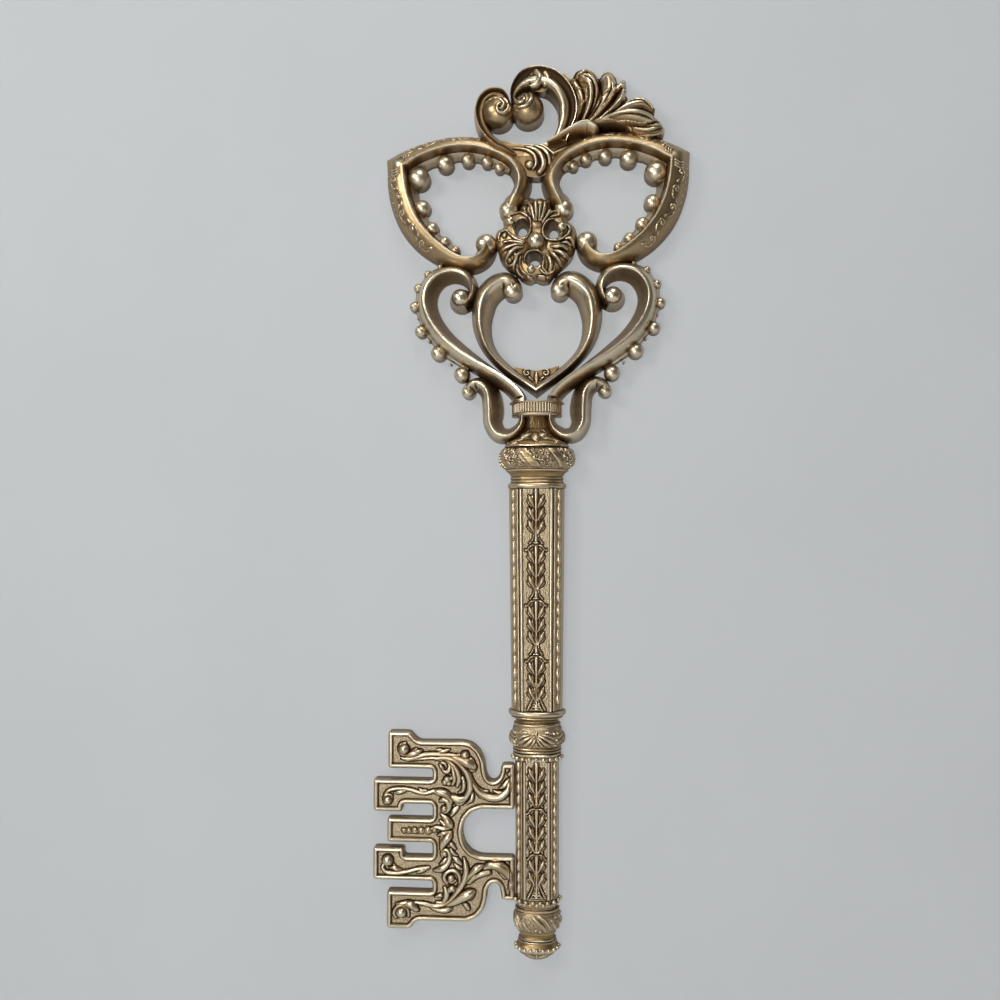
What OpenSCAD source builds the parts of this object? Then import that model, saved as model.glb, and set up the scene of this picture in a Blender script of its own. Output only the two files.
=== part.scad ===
// Decorative wall key: an open scroll bow with a crest and a rosette, a ringed
// shaft and a toothed bit, made of separate pieces that seat on one another.
// Millimetres. +Z is up, the front faces -Y, every back lies on the plane y = 0.
// The origin is the middle of the hanger plate's eye at the wall plane.

/* [Bow] */
// Height of the bow scrolls above the wall
scroll_h = 22; // [20.5:0.5:23.5]
// Extra outward width given to every bow scroll
rim_extra = 0; // [-0.4:0.1:0]
// Diameter of the dowels that tie touching scrolls together
dowel_d = 3; // [2:0.5:3.5]

/* [Shaft] */
// Length of the upper shaft between its rings
upper_len = 188; // [150:1:220]
// Half width of the upper shaft at its top end
upper_half_w = 24; // [23:0.25:24.5]
// Half width of the upper shaft at its bottom end
upper_half_b = 21.8; // [21:0.25:23]
// Half width of the lower shaft
lower_half_w = 18.8; // [18:0.25:19.5]
// Radius of the spigots that join the upper pieces
upper_spigot_r = 15; // [13.5:0.25:16]
// Radius of the spigots that join the lower pieces
lower_spigot_r = 12; // [11:0.25:12.5]

/* [Bit] */
// Thickness of the bit at its raised border
bit_t = 10; // [9:0.25:12]
// Depth of the sunk field of the bit
bit_sunk = 2; // [1.5:0.25:2.5]
// Width of the raised border of the bit
bit_border = 3.2; // [2.6:0.2:3.6]

/* [Hanger] */
// Radius of the eye that hangs on the wall pin
hanger_eye_r = 2.6; // [2.2:0.1:3]
// Thickness of the hanger plate
hanger_t = 1.5; // [1.2:0.1:2]

/* [Fit] */
// Gap left between pieces that sit against each other
gap = 0.3; // [0.2:0.05:0.35]
// Wall thickness of the hollow knobs at their spigots
wall = 3; // [2.5:0.25:3.5]

/* [Hidden] */
$fn = 48;
eps = 0.02;
spigot_len = 6;
finial_spigot_r = 6;
finial_spigot_l = 7;

strap_top = -167.3;
strap_bot = -180.6;
calyx_top = strap_bot - gap;
bulb_top = -206.7;
rings_top = -225.8;
upper_top = -242.6;
collar_top = upper_top - upper_len - gap;
mid_knop_top = collar_top - 14.2;
bead_ring_top = mid_knop_top - 22.6;
lower_top = bead_ring_top - 6;
lower_len = 115.2;
lower_bead_top = lower_top - lower_len - gap;
end_knop_top = lower_bead_top - 10;
finial_top = end_knop_top - 27.3;
bit_z = lower_top + 473.9;
upper_hollow_r = upper_spigot_r - wall;
lower_hollow_r = lower_spigot_r - wall;

shaft_depth = 24.6;
floor_depth = 22.8;
lower_depth = 20.4;
lower_floor = 18.8;

// Name of the one piece to draw, or all

// Curves

function cubic(a, b, c, d, t) =
    0.5 * (2 * b + (c - a) * t + (2 * a - 5 * b + 4 * c - d) * t * t
           + (3 * b - a - 3 * c + d) * t * t * t);
function near(p, i) = p[max(0, min(len(p) - 1, i))];
// Smooth run through rows of numbers, n steps between two rows
function smooth(p, n) = [
    for (i = [0:len(p) - 2], j = [0:n - 1])
        cubic(near(p, i - 1), p[i], p[i + 1], near(p, i + 2), j / n),
    p[len(p) - 1]];
function way(p, i) =
    let (d = [p[i + 1][0] - p[i][0], p[i + 1][1] - p[i][1]]) d / norm(d);
// Unit vector to the right of travel, lengthened where the path has a corner
function right_of(p, i) =
    let (a = way(p, max(0, i - 1)), b = way(p, min(len(p) - 2, i)),
         s = [a[1] + b[1], -a[0] - b[0]], m = s / norm(s),
         k = m * [a[1], -a[0]])
    m / max(0.5, k);
// Rounded nose added after the last row, reaching r beyond it
function nose(p, r) =
    let (a = p[len(p) - 1], d = way(p, len(p) - 2))
    concat(p, [for (t = [0.4, 0.7, 0.9, 0.99]) let (k = sqrt(1 - t * t))
        [a[0] + d[0] * r * t, a[1] + d[1] * r * t, a[2] * k, a[3] * k,
         a[5] + (a[4] - a[5]) * (0.55 + 0.45 * k), a[5]]]);
// The same path walked the other way, its two sides exchanged
function turned(p) = [for (i = [len(p) - 1:-1:0])
    [p[i][0], p[i][1], p[i][3], p[i][2], p[i][4], p[i][5]]];
function flipped(p) = [for (i = [len(p) - 1:-1:0])
    [-p[i][0], p[i][1], p[i][2], p[i][3], p[i][4], p[i][5]]];

// Solids through rings of points

module loft(rings) {
    n = len(rings);
    m = len(rings[0]);
    pts = [for (r = rings, q = r) q];
    sides = [for (i = [0:n - 2], j = [0:m - 1])
        let (a = i * m + j, b = i * m + (j + 1) % m)
        each [[a, a + m, b + m], [a, b + m, b]]];
    first = [for (j = [0:m - 1]) j];
    last = [for (j = [m - 1:-1:0]) (n - 1) * m + j];
    polyhedron(pts, concat(sides, [first, last]), convexity = 8);
}

// Path rows are x, z, width to the right, width to the left, height, floor
module sweep(p, sections, sides = []) {
    loft([for (i = [0:len(p) - 1])
        let (q = len(sides) > 0 ? sides[i] : right_of(p, i))
        [for (s = sections[i])
            [p[i][0] + q[0] * s[0], -s[1], p[i][1] + q[1] * s[0]]]]);
}

// Steep wall to the left, crest on the path, sloped face to the right
function bar(r) = let (o = r[2] + rim_extra, i = r[3], f = r[5], h = r[4] - f)
    [[-i, f], [-i * 0.62, f + h * 0.45], [-i * 0.2, f + h * 0.93], [0, f + h],
     [o * 0.3, f + h * 0.96], [o * 0.68, f + h * 0.72],
     [o * 0.95, f + h * 0.36], [o, f]];
// Crest on the path with both faces rounded away
function round_bar(r) = let (o = r[2], i = r[3], f = r[5], h = r[4] - f)
    [[-i, f], [-i * 0.88, f + h * 0.45], [-i * 0.52, f + h * 0.84],
     [0, f + h], [o * 0.38, f + h * 0.92], [o * 0.8, f + h * 0.62],
     [o, f + h * 0.25], [o, f]];
// Two raised rims with a trough between them
function trough(r) = let (o = r[2], i = r[3], f = r[5], h = r[4] - f)
    [[-i, f], [-i, f + h * 0.5], [-i * 0.9, f + h * 0.72],
     [-i * 0.45, f + h * 0.7], [o * 0.3, f + h * 0.8],
     [o * 0.62, f + h], [o * 0.85, f + h * 0.9], [o, f + h * 0.45], [o, f]];

function bars(p) = [for (r = p) bar(r)];
function rounds(p) = [for (r = p) round_bar(r)];
function troughs(p) = [for (r = p) trough(r)];

// Position of the left and right faces of a bar at height v
function left_face(r, v) = let (i = r[3], h = r[4])
    v < h * 0.45 ? -i + i * 0.38 * v / (h * 0.45)
    : v < h * 0.93 ? -i * 0.62 + i * 0.42 * (v - h * 0.45) / (h * 0.48) : 0;
function right_face(r, v) = let (o = r[2] + rim_extra, h = r[4])
    v < h * 0.36 ? o - o * 0.05 * v / (h * 0.36)
    : v < h * 0.72 ? o * 0.95 - o * 0.27 * (v - h * 0.36) / (h * 0.36)
    : o * 0.68 - o * 0.38 * (v - h * 0.72) / (h * 0.24);

// Rows a to b of a path with k steps between two, and their side vectors
function fine_rows(p, a, b, k) = [for (i = [a:b - 1], j = [0:k - 1])
    p[i] + (p[i + 1] - p[i]) * j / k];
function fine_sides(p, a, b, k) = [for (i = [a:b - 1], j = [0:k - 1])
    let (u = right_of(p, i), v = right_of(p, i + 1)) u + (v - u) * j / k];

// Bead b is x, z, radius: its reach along side q of row r, and half chord there
function across(r, q, b) = q / norm(q) * [b[0] - r[0], b[1] - r[1]];
function chord(r, q, b) =
    let (u = q / norm(q), d = -u[1] * (b[0] - r[0]) + u[0] * (b[1] - r[1]))
    abs(d) < b[2] && abs(across(r, q, b)) < 20 ? sqrt(b[2] * b[2] - d * d) : 0;
function best(r, q, beads) = let (c = [for (b = beads) chord(r, q, b)], m = max(c))
    m > 0 ? search(m, c)[0] : -1;

// Ledge with beads that lies along the left or right wall of a bar
function bead_ledge(r, q, beads, side, low, high, ledge) =
    let (k = best(r, q, beads), mitre = norm(q),
         seat_gap = gap + 0.25,
         face0 = side < 0 ? -left_face(r, 0) : right_face(r, 0),
         h = k < 0 ? 0 : chord(r, q, beads[k]) / mitre,
         c = k < 0 ? 0 : side * across(r, q, beads[k]) / mitre,
         big = h > 0 && c + h > face0 + gap + ledge,
         u = big ? c : face0 + gap + ledge * 0.5,
         e = big ? h : ledge * 0.5,
         hb = big ? high : low - ledge * 0.5,
         top = big ? high + h * mitre : low,
         vt = min(hb + e * 0.7, top),
         wt = (side < 0 ? -left_face(r, vt) : right_face(r, vt)) + seat_gap,
         wf = (side < 0 ? -left_face(r, hb) : right_face(r, hb)) + seat_gap,
         s = [[face0 + seat_gap, 0], [wf, hb * 0.98], [max(wt, u - e * 0.72), vt],
              [max(wt + 0.05, u), top], [max(wt + 0.1, u + e * 0.72), vt],
              [u + e, hb], [u + e + 0.6, 0]])
    side > 0 ? s : [for (j = [len(s) - 1:-1:0]) [-s[j][0], s[j][1]]];

module bead_strip(p, a, b, beads, side, low, high, ledge) {
    rows = fine_rows(p, a, b, 3);
    sides = fine_sides(p, a, b, 3);
    sweep(rows, [for (i = [0:len(rows) - 1])
        bead_ledge(rows[i], sides[i], beads, side, low, high, ledge)], sides);
}

// Outline helpers

function unit(v) = v / norm(v);
// Outline moved inward by d, for points listed counterclockwise
function inset(p, d) = let (n = len(p)) [for (i = [0:n - 1])
    let (a = unit(p[i] - p[(i + n - 1) % n]), b = unit(p[(i + 1) % n] - p[i]),
         na = [-a[1], a[0]], nb = [-b[1], b[0]], s = na + nb)
    p[i] + s * d / (1 + na * nb)];
// Outline with every corner cut back by r and rounded with one middle point
function eased(p, r) = let (n = len(p)) [for (i = [0:n - 1])
    let (a = p[(i + n - 1) % n], b = p[i], c = p[(i + 1) % n],
         k = min(r, norm(a - b) * 0.45, norm(c - b) * 0.45),
         s = b + unit(a - b) * k, e = b + unit(c - b) * k)
    each [s, b * 0.55 + (s + e) * 0.225, e]];

module plate(depth, from = 0) {
    translate([0, -from, 0])
        rotate([90, 0, 0])
            linear_extrude(depth)
                children();
}

// Half turned solid from an outline of radius and height
module half_turned(outline) {
    rotate([0, 0, 180])
        rotate_extrude(angle = 180)
            polygon(outline);
}

module bore(x, z, r, from, depth) {
    translate([x, -from + eps, z])
        rotate([90, 0, 0])
            cylinder(r = r, h = depth + eps);
}

module mirrored() {
    mirror([1, 0, 0])
        children();
}

// Bow paths, left side

lobe_top_rows = [
    [-24, -1, 8, 7.4, 18, 0], [-20, 6, 9, 9.4, 21, 0],
    [-16.4, 13, 9.5, 7.6, scroll_h, 0], [-14.4, 23, 10.5, 5.8, scroll_h, 0],
    [-17.2, 32, 10.5, 5.5, scroll_h, 0], [-25, 41, 10.5, 5.5, scroll_h, 0],
    [-38, 48, 11, 5.5, scroll_h, 0], [-53, 52.3, 11.8, 5.5, scroll_h, 0],
    [-69, 53.2, 12.2, 5.5, scroll_h, 0], [-86, 50.2, 13, 5.5, scroll_h, 0],
    [-101, 44.7, 15, 5.5, scroll_h, 0], [-114.5, 37.2, 17, 5.5, scroll_h, 0]];
lobe_side_rows = [
    [-114.5, 37.2, 17, 5.5, scroll_h, 0], [-113.4, 24, 17.8, 5.5, scroll_h, 0],
    [-110, 8.5, 18, 5.5, scroll_h, 0], [-103.2, -8.2, 17.5, 5.5, scroll_h, 0],
    [-92, -23.5, 16, 5.5, scroll_h, 0], [-78, -35.8, 13.5, 5.5, scroll_h, 0],
    [-66.5, -42.6, 11.4, 5.5, scroll_h, 0], [-56, -44.2, 10.6, 6.4, scroll_h, 0],
    [-47.4, -39.6, 10.4, 7.2, 21, 0], [-43, -31.4, 9.4, 7.4, 20, 0]];
function lobe_path() =
    let (a = smooth(lobe_top_rows, 3), b = smooth(lobe_side_rows, 3))
    nose(turned(nose(turned(concat(a, [for (i = [1:len(b) - 1]) b[i]])), 6)), 9);

lobe_beads = [[-102.4, 28.5, 9.8], [-79.3, 41.1, 7.6], [-59.4, 44, 6],
    [-42.6, 42.2, 5.4], [-31.8, 36.6, 4.6], [-99.3, 2.6, 7.1],
    [-90.6, -15.3, 5.7], [-79.8, -27.5, 5], [-70.3, -34.8, 4]];

heart_rows = [
    [-58.6, -80.5, 3, 1.2, 20, 0], [-56.4, -74.5, 4.4, 2.2, 21.5, 0],
    [-56.6, -67, 6, 3.5, scroll_h, 0], [-62.5, -59, 7.6, 5.5, scroll_h, 0],
    [-73, -55.8, 7.6, 6.6, scroll_h, 0], [-85, -59, 8.6, 7.8, scroll_h, 0],
    [-93, -68.5, 9, 8.4, scroll_h, 0], [-95.3, -81, 9.2, 8.4, scroll_h, 0],
    [-91, -95.5, 9.6, 8.4, scroll_h, 0], [-80, -111, 10, 8.2, scroll_h, 0],
    [-64.5, -124, 10, 7.2, scroll_h, 0], [-47, -134.7, 10, 4.6, scroll_h, 0],
    [-30, -144.6, 10.4, 2.2, scroll_h, 0],
    [-17.6, -154.2, 10.6, 2, scroll_h, 0], [-11, -162.6, 11, 2, 21.5, 0],
    [-11, strap_top - 1, 11.2, 2, 21, 0]];
function heart_path() = smooth(heart_rows, 3);
heart_ball = [-65.2, -78.2];
ball_r = 11.2;

edge_ledge = 1.6;
edge_beads = [[-83.6, -48.6, 2.6], [-94.6, -55.2, 3.4], [-103, -67.4, 4],
    [-105.9, -83.4, 4.6], [-100.4, -105, 5.6], [-84.8, -124.4, 6.9],
    [-64.6, -143.2, 6.9]];

horseshoe_rows = [
    [-19.2, -73.4, 6.6, 6.4, 19, 0], [-21.4, -67, 9, 8.4, 21, 0],
    [-28.4, -64.4, 11.4, 10.6, scroll_h, 0], [-37, -68.4, 11.8, 11.4, scroll_h, 0],
    [-44.2, -76.5, 10.6, 11.4, scroll_h, 0], [-47.6, -88, 9.2, 10.6, scroll_h, 0],
    [-47.8, -101, 8, 8.6, scroll_h, 0], [-44.6, -115.5, 6, 7, scroll_h, 0],
    [-37.5, -128, 4.4, 6, scroll_h, 0], [-26, -140, 3.6, 6, scroll_h, 0],
    [-13, -149.6, 3.6, 6, scroll_h, 0]];
horseshoe_point = [0, -158.8, 4, 6, scroll_h, 0];
function horseshoe_path() =
    let (a = turned(nose(turned(smooth(horseshoe_rows, 3)), 5)))
    concat(a, [horseshoe_point], flipped(a));

s_rows = [
    [-58.8, -159.5, 5.8, 4.6, 17, 0], [-57.4, -154, 6.8, 5.6, 20, 0],
    [-51.5, -150.9, 7.4, 6.4, scroll_h, 0], [-44.8, -153.8, 8, 7.6, scroll_h, 0],
    [-40.7, -161.5, 7.8, 10, scroll_h, 0], [-39.6, -174, 7.6, 11.2, scroll_h, 0],
    [-38, -185, 8, 9.6, scroll_h, 0], [-32, -193, 8.2, 7.8, scroll_h, 0],
    [-24, -194.6, 6.8, 7, scroll_h, 0], [-16.2, -190.2, 4.6, 6, scroll_h, 0],
    [-12, -184.4, 2.6, 4.4, scroll_h, 0], [-12, strap_bot + 1, 2.4, 4, 21, 0]];
function s_path() = turned(nose(turned(smooth(s_rows, 3)), 4));

// Area inside the outer edge of a scroll, its ends joined by a straight line
function inside(p, grow) = [for (i = [0:len(p) - 1]) let (q = right_of(p, i))
    [p[i][0] + q[0] * (p[i][2] + rim_extra + grow),
     p[i][1] + q[1] * (p[i][2] + rim_extra + grow)]];
function part_of(p, a, b) = [for (i = [a:b]) p[i]];
// The path with its first row moved back by d
function longer(p, d) = let (w = way(p, 0)) concat(
    [[p[0][0] - w[0] * d, p[0][1] - w[1] * d, p[0][2], p[0][3]]],
    [for (r = part_of(p, 1, len(p) - 1)) [r[0], r[1], r[2], r[3]]]);
// Whole width of a scroll
function footprint(p, grow) = concat(inside(p, grow),
    [for (i = [len(p) - 1:-1:0]) let (q = right_of(p, i))
        [p[i][0] - q[0] * (p[i][3] + grow), p[i][1] - q[1] * (p[i][3] + grow)]]);

module seat(outline) {
    translate([0, 1, 0])
        plate(60)
            polygon(outline);
}

// Room for the band between the ridge and the outer edge of a scroll, rows a to b
module band_seat(p, a, b, grow) {
    for (i = [a:b - 1])
        hull()
            seat([for (e = [[i, 0], [i, 1], [i + 1, 1], [i + 1, 0]])
                let (r = p[e[0]], q = right_of(p, e[0]),
                     w = e[1] * (r[2] + rim_extra + grow))
                [r[0] + q[0] * w, r[1] + q[1] * w]]);
}

// Room for the lower part of the rosette, as wedges from its middle
module rosette_seat() {
    e = rosette_edge(gap);
    n = len(e);
    for (i = [0:n - 1])
        if (e[i][1] < -44)
            hull()
                seat([rosette_c, e[i], e[(i + 1) % n]]);
}

// Bow pieces

module lobe_frame(side) {
    difference() {
        sweep(lobe_path(), bars(lobe_path()));
        seat([for (q = rosette_edge(gap)) [side * q[0], q[1]]]);
        bow_dowels(gap / 2);
    }
}

module lobe_bead_ledge() {
    bead_strip(lobe_path(), 18, 53, lobe_beads, -1, 5, 8, 3);
}

module heart_scroll() {
    difference() {
        sweep(heart_path(), bars(heart_path()));
        band_seat(lobe_path(), 47, 60, gap);
        band_seat(horseshoe_path(), 11, 35, gap);
        translate([-40, -40, strap_top - 20])
            cube([40, 41, 20 + gap]);
        translate([heart_ball[0], eps, heart_ball[1]])
            rotate([90, 0, 0])
                union() {
                    cylinder(r1 = ball_r + gap, r2 = 7.8 + gap, h = 15);
                    translate([0, 0, 15 - eps])
                        cylinder(r = 7.8 + gap, h = 12);
                }
        bow_dowels(gap / 2);
    }
}

module volute_ball() {
    difference() {
        translate([heart_ball[0], 0, heart_ball[1]])
            rotate([90, 0, 0])
                union() {
                    cylinder(r1 = ball_r, r2 = 7.8, h = 15);
                    translate([0, 0, 15])
                        sphere(r = 7.8);
                }
        bow_dowels(gap / 2);
    }
}

module edge_bead_ledge() {
    difference() {
        bead_strip(heart_path(), 12, 34, edge_beads, 1, 6, 8, edge_ledge);
        seat(inside(lobe_path(), gap));
    }
}

module s_scroll() {
    difference() {
        sweep(s_path(), rounds(s_path()));
        band_seat(heart_path(), 34, 39, gap);
        band_seat(heart_path(), 26, 34, edge_ledge + 1 + 2 * gap);
        translate([-24, -40, strap_bot - gap])
            cube([24, 41, 10]);
        for (b = [edge_beads[5], edge_beads[6]])
            bore(b[0], b[1], b[2] + 0.7 + gap, -1, 40);
        bow_dowels(gap / 2);
    }
}

module left_lobe_frame() {
    color("goldenrod")
        lobe_frame(1);
}

module right_lobe_frame() {
    color("goldenrod")
        mirrored()
            lobe_frame(-1);
}

module left_lobe_beads() {
    color("darkgoldenrod")
        lobe_bead_ledge();
}

module right_lobe_beads() {
    color("darkgoldenrod")
        mirrored()
            lobe_bead_ledge();
}

module left_heart_scroll() {
    color("goldenrod")
        heart_scroll();
}

module right_heart_scroll() {
    color("goldenrod")
        mirrored()
            heart_scroll();
}

module left_volute_ball() {
    color("khaki")
        volute_ball();
}

module right_volute_ball() {
    color("khaki")
        mirrored()
            volute_ball();
}

module left_edge_beads() {
    color("darkgoldenrod")
        edge_bead_ledge();
}

module right_edge_beads() {
    color("darkgoldenrod")
        mirrored()
            edge_bead_ledge();
}

module inner_horseshoe() {
    color("goldenrod")
        difference() {
            sweep(horseshoe_path(), rounds(horseshoe_path()));
            rosette_seat();
            for (s = [-1, 1])
                bore(s * heart_ball[0], heart_ball[1], ball_r + gap, -1, 40);
            bow_dowels(gap / 2);
            mirrored()
                bow_dowels(gap / 2);
        }
}

// Chased filling between the ring opening and the point of the horseshoe.
// The opening keeps patch_rise above the point, whatever its radius is.
ring_r = 39;
patch_rise = 18.3;
ring_c = [0, horseshoe_point[1] + patch_rise + ring_r];

module horseshoe_patch() {
    p = horseshoe_path();
    c = floor(len(p) / 2);
    color("darkgoldenrod")
        plate(12)
            polygon(concat([for (i = [c - 3:c + 3]) let (q = right_of(p, i))
                    [p[i][0] - q[0] * (p[i][3] + 2 * gap),
                     p[i][1] - q[1] * (p[i][3] + 2 * gap)]],
                [for (k = [-4:4]) let (a = 270 - k * 5.4)
                    ring_c + ring_r * [cos(a), sin(a)]]));
}

module left_s_scroll() {
    color("goldenrod")
        s_scroll();
}

module right_s_scroll() {
    color("goldenrod")
        mirrored()
            s_scroll();
}

// Dowels as x, z, direction from +X in degrees, length
dowel_places = [[-70.5, -50.2, 80, 9], [-55.8, -86, 20, 9],
    [-17.6, -3.6, -60, 9], [-35, -28, 0, 9], [-17.6, -61.5, 75, 9]];

module bow_dowels(extra) {
    for (d = dowel_places)
        translate([d[0], -7, d[1]])
            rotate([0, 90 - d[2], 0])
                cylinder(r = dowel_d / 2 + extra, h = d[3] + 2 * extra,
                         center = true, $fn = 24);
}

module scroll_dowels() {
    color("silver") {
        bow_dowels(0);
        mirrored()
            bow_dowels(0);
    }
}

// Crest

keystone_outline = [[0, 25], [10, 27], [24, 38], [38, 52], [36, 62],
    [26, 62], [12, 57.4], [6, 54.4], [0, 53.8], [-10, 55], [-20, 57.4],
    [-28, 59], [-34, 57.6], [-34, 52], [-24, 38], [-10, 27]];

module crest_keystone() {
    color("peru")
        difference() {
            plate(18)
                polygon(keystone_outline);
            seat(inside(lobe_path(), gap));
            mirrored()
                seat(inside(lobe_path(), gap));
            seat(footprint(longer(stem_path(), gap), gap));
            seat(above_stem());
        }
}

small_rows = [
    [-18, 44, 2.6, 2.6, 26, 22.4], [-25, 48.6, 3.4, 3.4, 26, 21.4],
    [-33, 53.2, 4.2, 4.2, 26, 21.4], [-41, 61, 4.6, 5, 24, 19.4],
    [-47, 71, 5.2, 5, 22, 0], [-49.4, 82, 5.2, 4.6, 22, 0],
    [-46.4, 92.4, 4.8, 4.6, 23, 0], [-39.2, 98, 4.4, 5, 23, 0],
    [-30.6, 97.6, 4.2, 4.6, 23, 0], [-24.8, 92.6, 2.4, 3, 22, 0],
    [-22.8, 86, 1.4, 1.6, 20, 0]];

// The lobe frame grown by the gap, for what lies on top of it
function lobe_saddle() = [for (r = part_of(lobe_path(), 10, 38))
    [r[0], r[1], r[2] + gap, r[3] + gap, r[4] + gap, r[5]]];

// Rows whose floor, where it ran below the wall, is brought back to it
function on_wall(p) = [for (r = p) [r[0], r[1], r[2], r[3], r[4], max(0, r[5])]];

module crest_small_scroll() {
    p = nose(on_wall(smooth(small_rows, 3)), 2);
    color("goldenrod")
        difference() {
            sweep(p, rounds(p));
            intersection() {
                sweep(lobe_saddle(), bars(lobe_saddle()));
                translate([-60, -40, 30])
                    cube([60, 41, 40]);
            }
        }
}

c_rows = [
    [20.6, 57, 6.5, 6.5, 20, 0], [24.4, 66.5, 6.5, 6.5, 22, 0],
    [27.2, 76, 8, 8.6, 25, 0],
    [27, 86, 8.4, 8.6, 27, 0], [22, 97, 8.6, 8.6, 28, 0],
    [13.4, 105.4, 9, 8.6, 28, 0], [2.4, 109, 9.2, 8.6, 27, 0],
    [-8, 107.4, 8.8, 7.4, 26, 0], [-16, 101, 5.6, 4.4, 24, 0],
    [-20, 94.6, 2.4, 1.6, 21, 0]];

function c_path() = nose(smooth(c_rows, 4), 1.5);

module crest_c_scroll() {
    color("goldenrod")
        difference() {
            sweep(c_path(), troughs(c_path()));
            seat(below_stem());
        }
}

module boss(x, z, r, h) {
    translate([x, 0, z])
        rotate([90, 0, 0])
            rotate_extrude()
                polygon(concat([[0, 0], [r, 0], [r * 0.97, h * 0.5]],
                    [for (a = [10:16:90]) [r * 0.97 * cos(a),
                        h * 0.5 + h * 0.5 * sin(a)]], [[0, h]]));
}

module crest_bosses() {
    color("khaki") {
        boss(-34.4, 82.4, 9.4, 25);
        boss(-8, 86.6, 12, 25);
    }
}

stem_rows = [
    [10, 55, 3.4, 2, 20, 0], [18.6, 59, 4.6, 2.6, 22, 0],
    [27, 63.4, 6, 2.4, 24, 0], [35.6, 67.2, 8, 3, 26, 0],
    [44, 68.6, 9.4, 3, 26, 0], [50.5, 65.5, 8, 2, 25, 0]];
function stem_path() = smooth(stem_rows, 3);
// Area between the left edge of the stem and a line far above it
function above_stem() = concat(
    [for (p = stem_path()) [p[0], p[1]]], [[60, 100], [0, 100]]);
function below_stem() = concat(
    [for (i = [0:len(stem_path()) - 1]) let (p = stem_path(), q = right_of(p, i))
        [p[i][0] - q[0] * (p[i][3] + gap), p[i][1] - q[1] * (p[i][3] + gap)]],
    [[60, 20], [0, 20]]);

module crest_stem() {
    color("peru")
        difference() {
            sweep(stem_path(), rounds(stem_path()));
            mirrored()
                seat(inside(lobe_path(), gap));
        }
}

// Leaf blades as runs of x, z, radius, height of the middle
blades = [
    [[37, 74, 3.6, 9], [36, 88, 7, 10], [37, 100, 9, 11], [41.5, 109.6, 11, 11]],
    [[42, 74, 3.6, 10], [48, 88, 6.5, 12], [56, 101, 7.6, 13], [60.6, 108, 9.2, 11]],
    [[46, 74, 3.6, 11], [57, 85, 6, 13], [67, 95, 7.4, 13], [70.6, 101.4, 7.8, 11]],
    [[49, 73, 3.6, 13], [64, 79, 6.4, 15], [80, 83.6, 7.6, 15], [92, 83, 8.6, 11]],
    [[52, 71, 3.4, 25], [68, 72.6, 6, 25.5], [86, 73, 7.4, 25], [97.6, 70, 8.4, 20]],
    [[54, 66, 3, 24], [66, 64.6, 5, 24.5], [84, 63.6, 5.6, 24], [100.6, 63.6, 7, 19.4]],
    [[60, 64, 6, 16], [76, 63, 7, 15.5], [94, 63, 6.4, 15.5]]];

module blob(b, f) {
    translate([b[0], -b[3], b[1]])
        scale([1, f, 1])
            rotate([90, 0, 0])
                sphere(r = b[2], $fn = 10);
}

module crest_leaf() {
    color("gold")
        intersection() {
            union()
                for (run = blades, i = [0:len(run) - 2])
                    hull() {
                        blob(run[i], 0.7);
                        blob(run[i + 1], 0.7);
                    }
            difference() {
                translate([0, -40, 0])
                    cube([140, 40, 140]);
                seat(inside(c_path(), gap));
                seat(footprint(stem_path(), gap));
                mirrored()
                    sweep(lobe_saddle(), bars(lobe_saddle()));
            }
        }
}

// Rosette

rosette_outline = [[34.9, -28.3], [34, -20.5], [30.4, -15.5], [26.6, -12.4],
    [24.6, -4.4], [18.6, -3], [13, -1.6], [12.2, 6.4], [7.6, 6.6], [3.4, 8.4],
    [-0.8, 7.2], [-5.4, 9], [-12, 7], [-13, -1.4], [-19.8, -5], [-26.4, -5.4],
    [-28.6, -12], [-28.2, -17.4], [-33.4, -19.6], [-35.2, -25], [-34.9, -31.9],
    [-32.6, -39], [-30.6, -45.9], [-24.5, -53], [-17, -57.4], [-12.4, -62.6],
    [-5.5, -65.4], [-0.6, -63.4], [4, -65.4], [10.8, -64.8], [14.6, -60],
    [22, -53.2], [27.6, -48], [31.8, -41.6]];
function rosette_edge(grow) = inset(eased(rosette_outline, 1.6), -grow);
rosette_c = [0, -32.5];
hole_places = [[-13, -20.4], [13.6, -22], [-0.6, -46.6]];
pearl_places = [[-21.4, -14.8], [22, -19.4], [-3.6, -58]];

module rosette_body() {
    color("darkgoldenrod")
        difference() {
            plate(scroll_h)
                polygon(rosette_edge(0));
            for (h = hole_places)
                bore(h[0], h[1], 6.4, -1, 30);
            bore(rosette_c[0], rosette_c[1], 2.2, 12, 14);
            for (h = pearl_places)
                bore(h[0], h[1], 1.2 + gap / 2, 16, 10);
            hanger_recess();
            bow_dowels(gap / 2);
            mirrored()
                bow_dowels(gap / 2);
        }
}

module rosette_leaves() {
    color("gold")
        difference() {
            intersection() {
                union()
                    for (a = [90, 210, 330], k = [-2:2])
                        hull() {
                            translate([rosette_c[0], 0, rosette_c[1]])
                                rotate([0, -a - k * 15, 0])
                                    translate([8.2, 0, 0])
                                        blob([0, 0, 2.6, scroll_h + 2], 1);
                            translate([rosette_c[0], 0, rosette_c[1]])
                                rotate([0, -a - k * 17, 0])
                                    translate([31 - abs(k) * 1.6, 0, 0])
                                        blob([0, 0, 4, scroll_h + 4], 1);
                        }
                translate([-60, -40, -100])
                    cube([120, 40 - scroll_h - gap, 120]);
            }
            for (h = hole_places)
                bore(h[0], h[1], 6.4, -1, 50);
            for (h = pearl_places)
                bore(h[0], h[1], 3.5 + gap, 12, 30);
        }
}

module rosette_stud() {
    color("khaki")
        translate([rosette_c[0], 0, rosette_c[1]])
            rotate([90, 0, 0])
                union() {
                    translate([0, 0, scroll_h + 7])
                        sphere(r = 6.6);
                    translate([0, 0, 12 + gap])
                        cylinder(r = 2, h = scroll_h - 8);
                }
}

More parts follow.
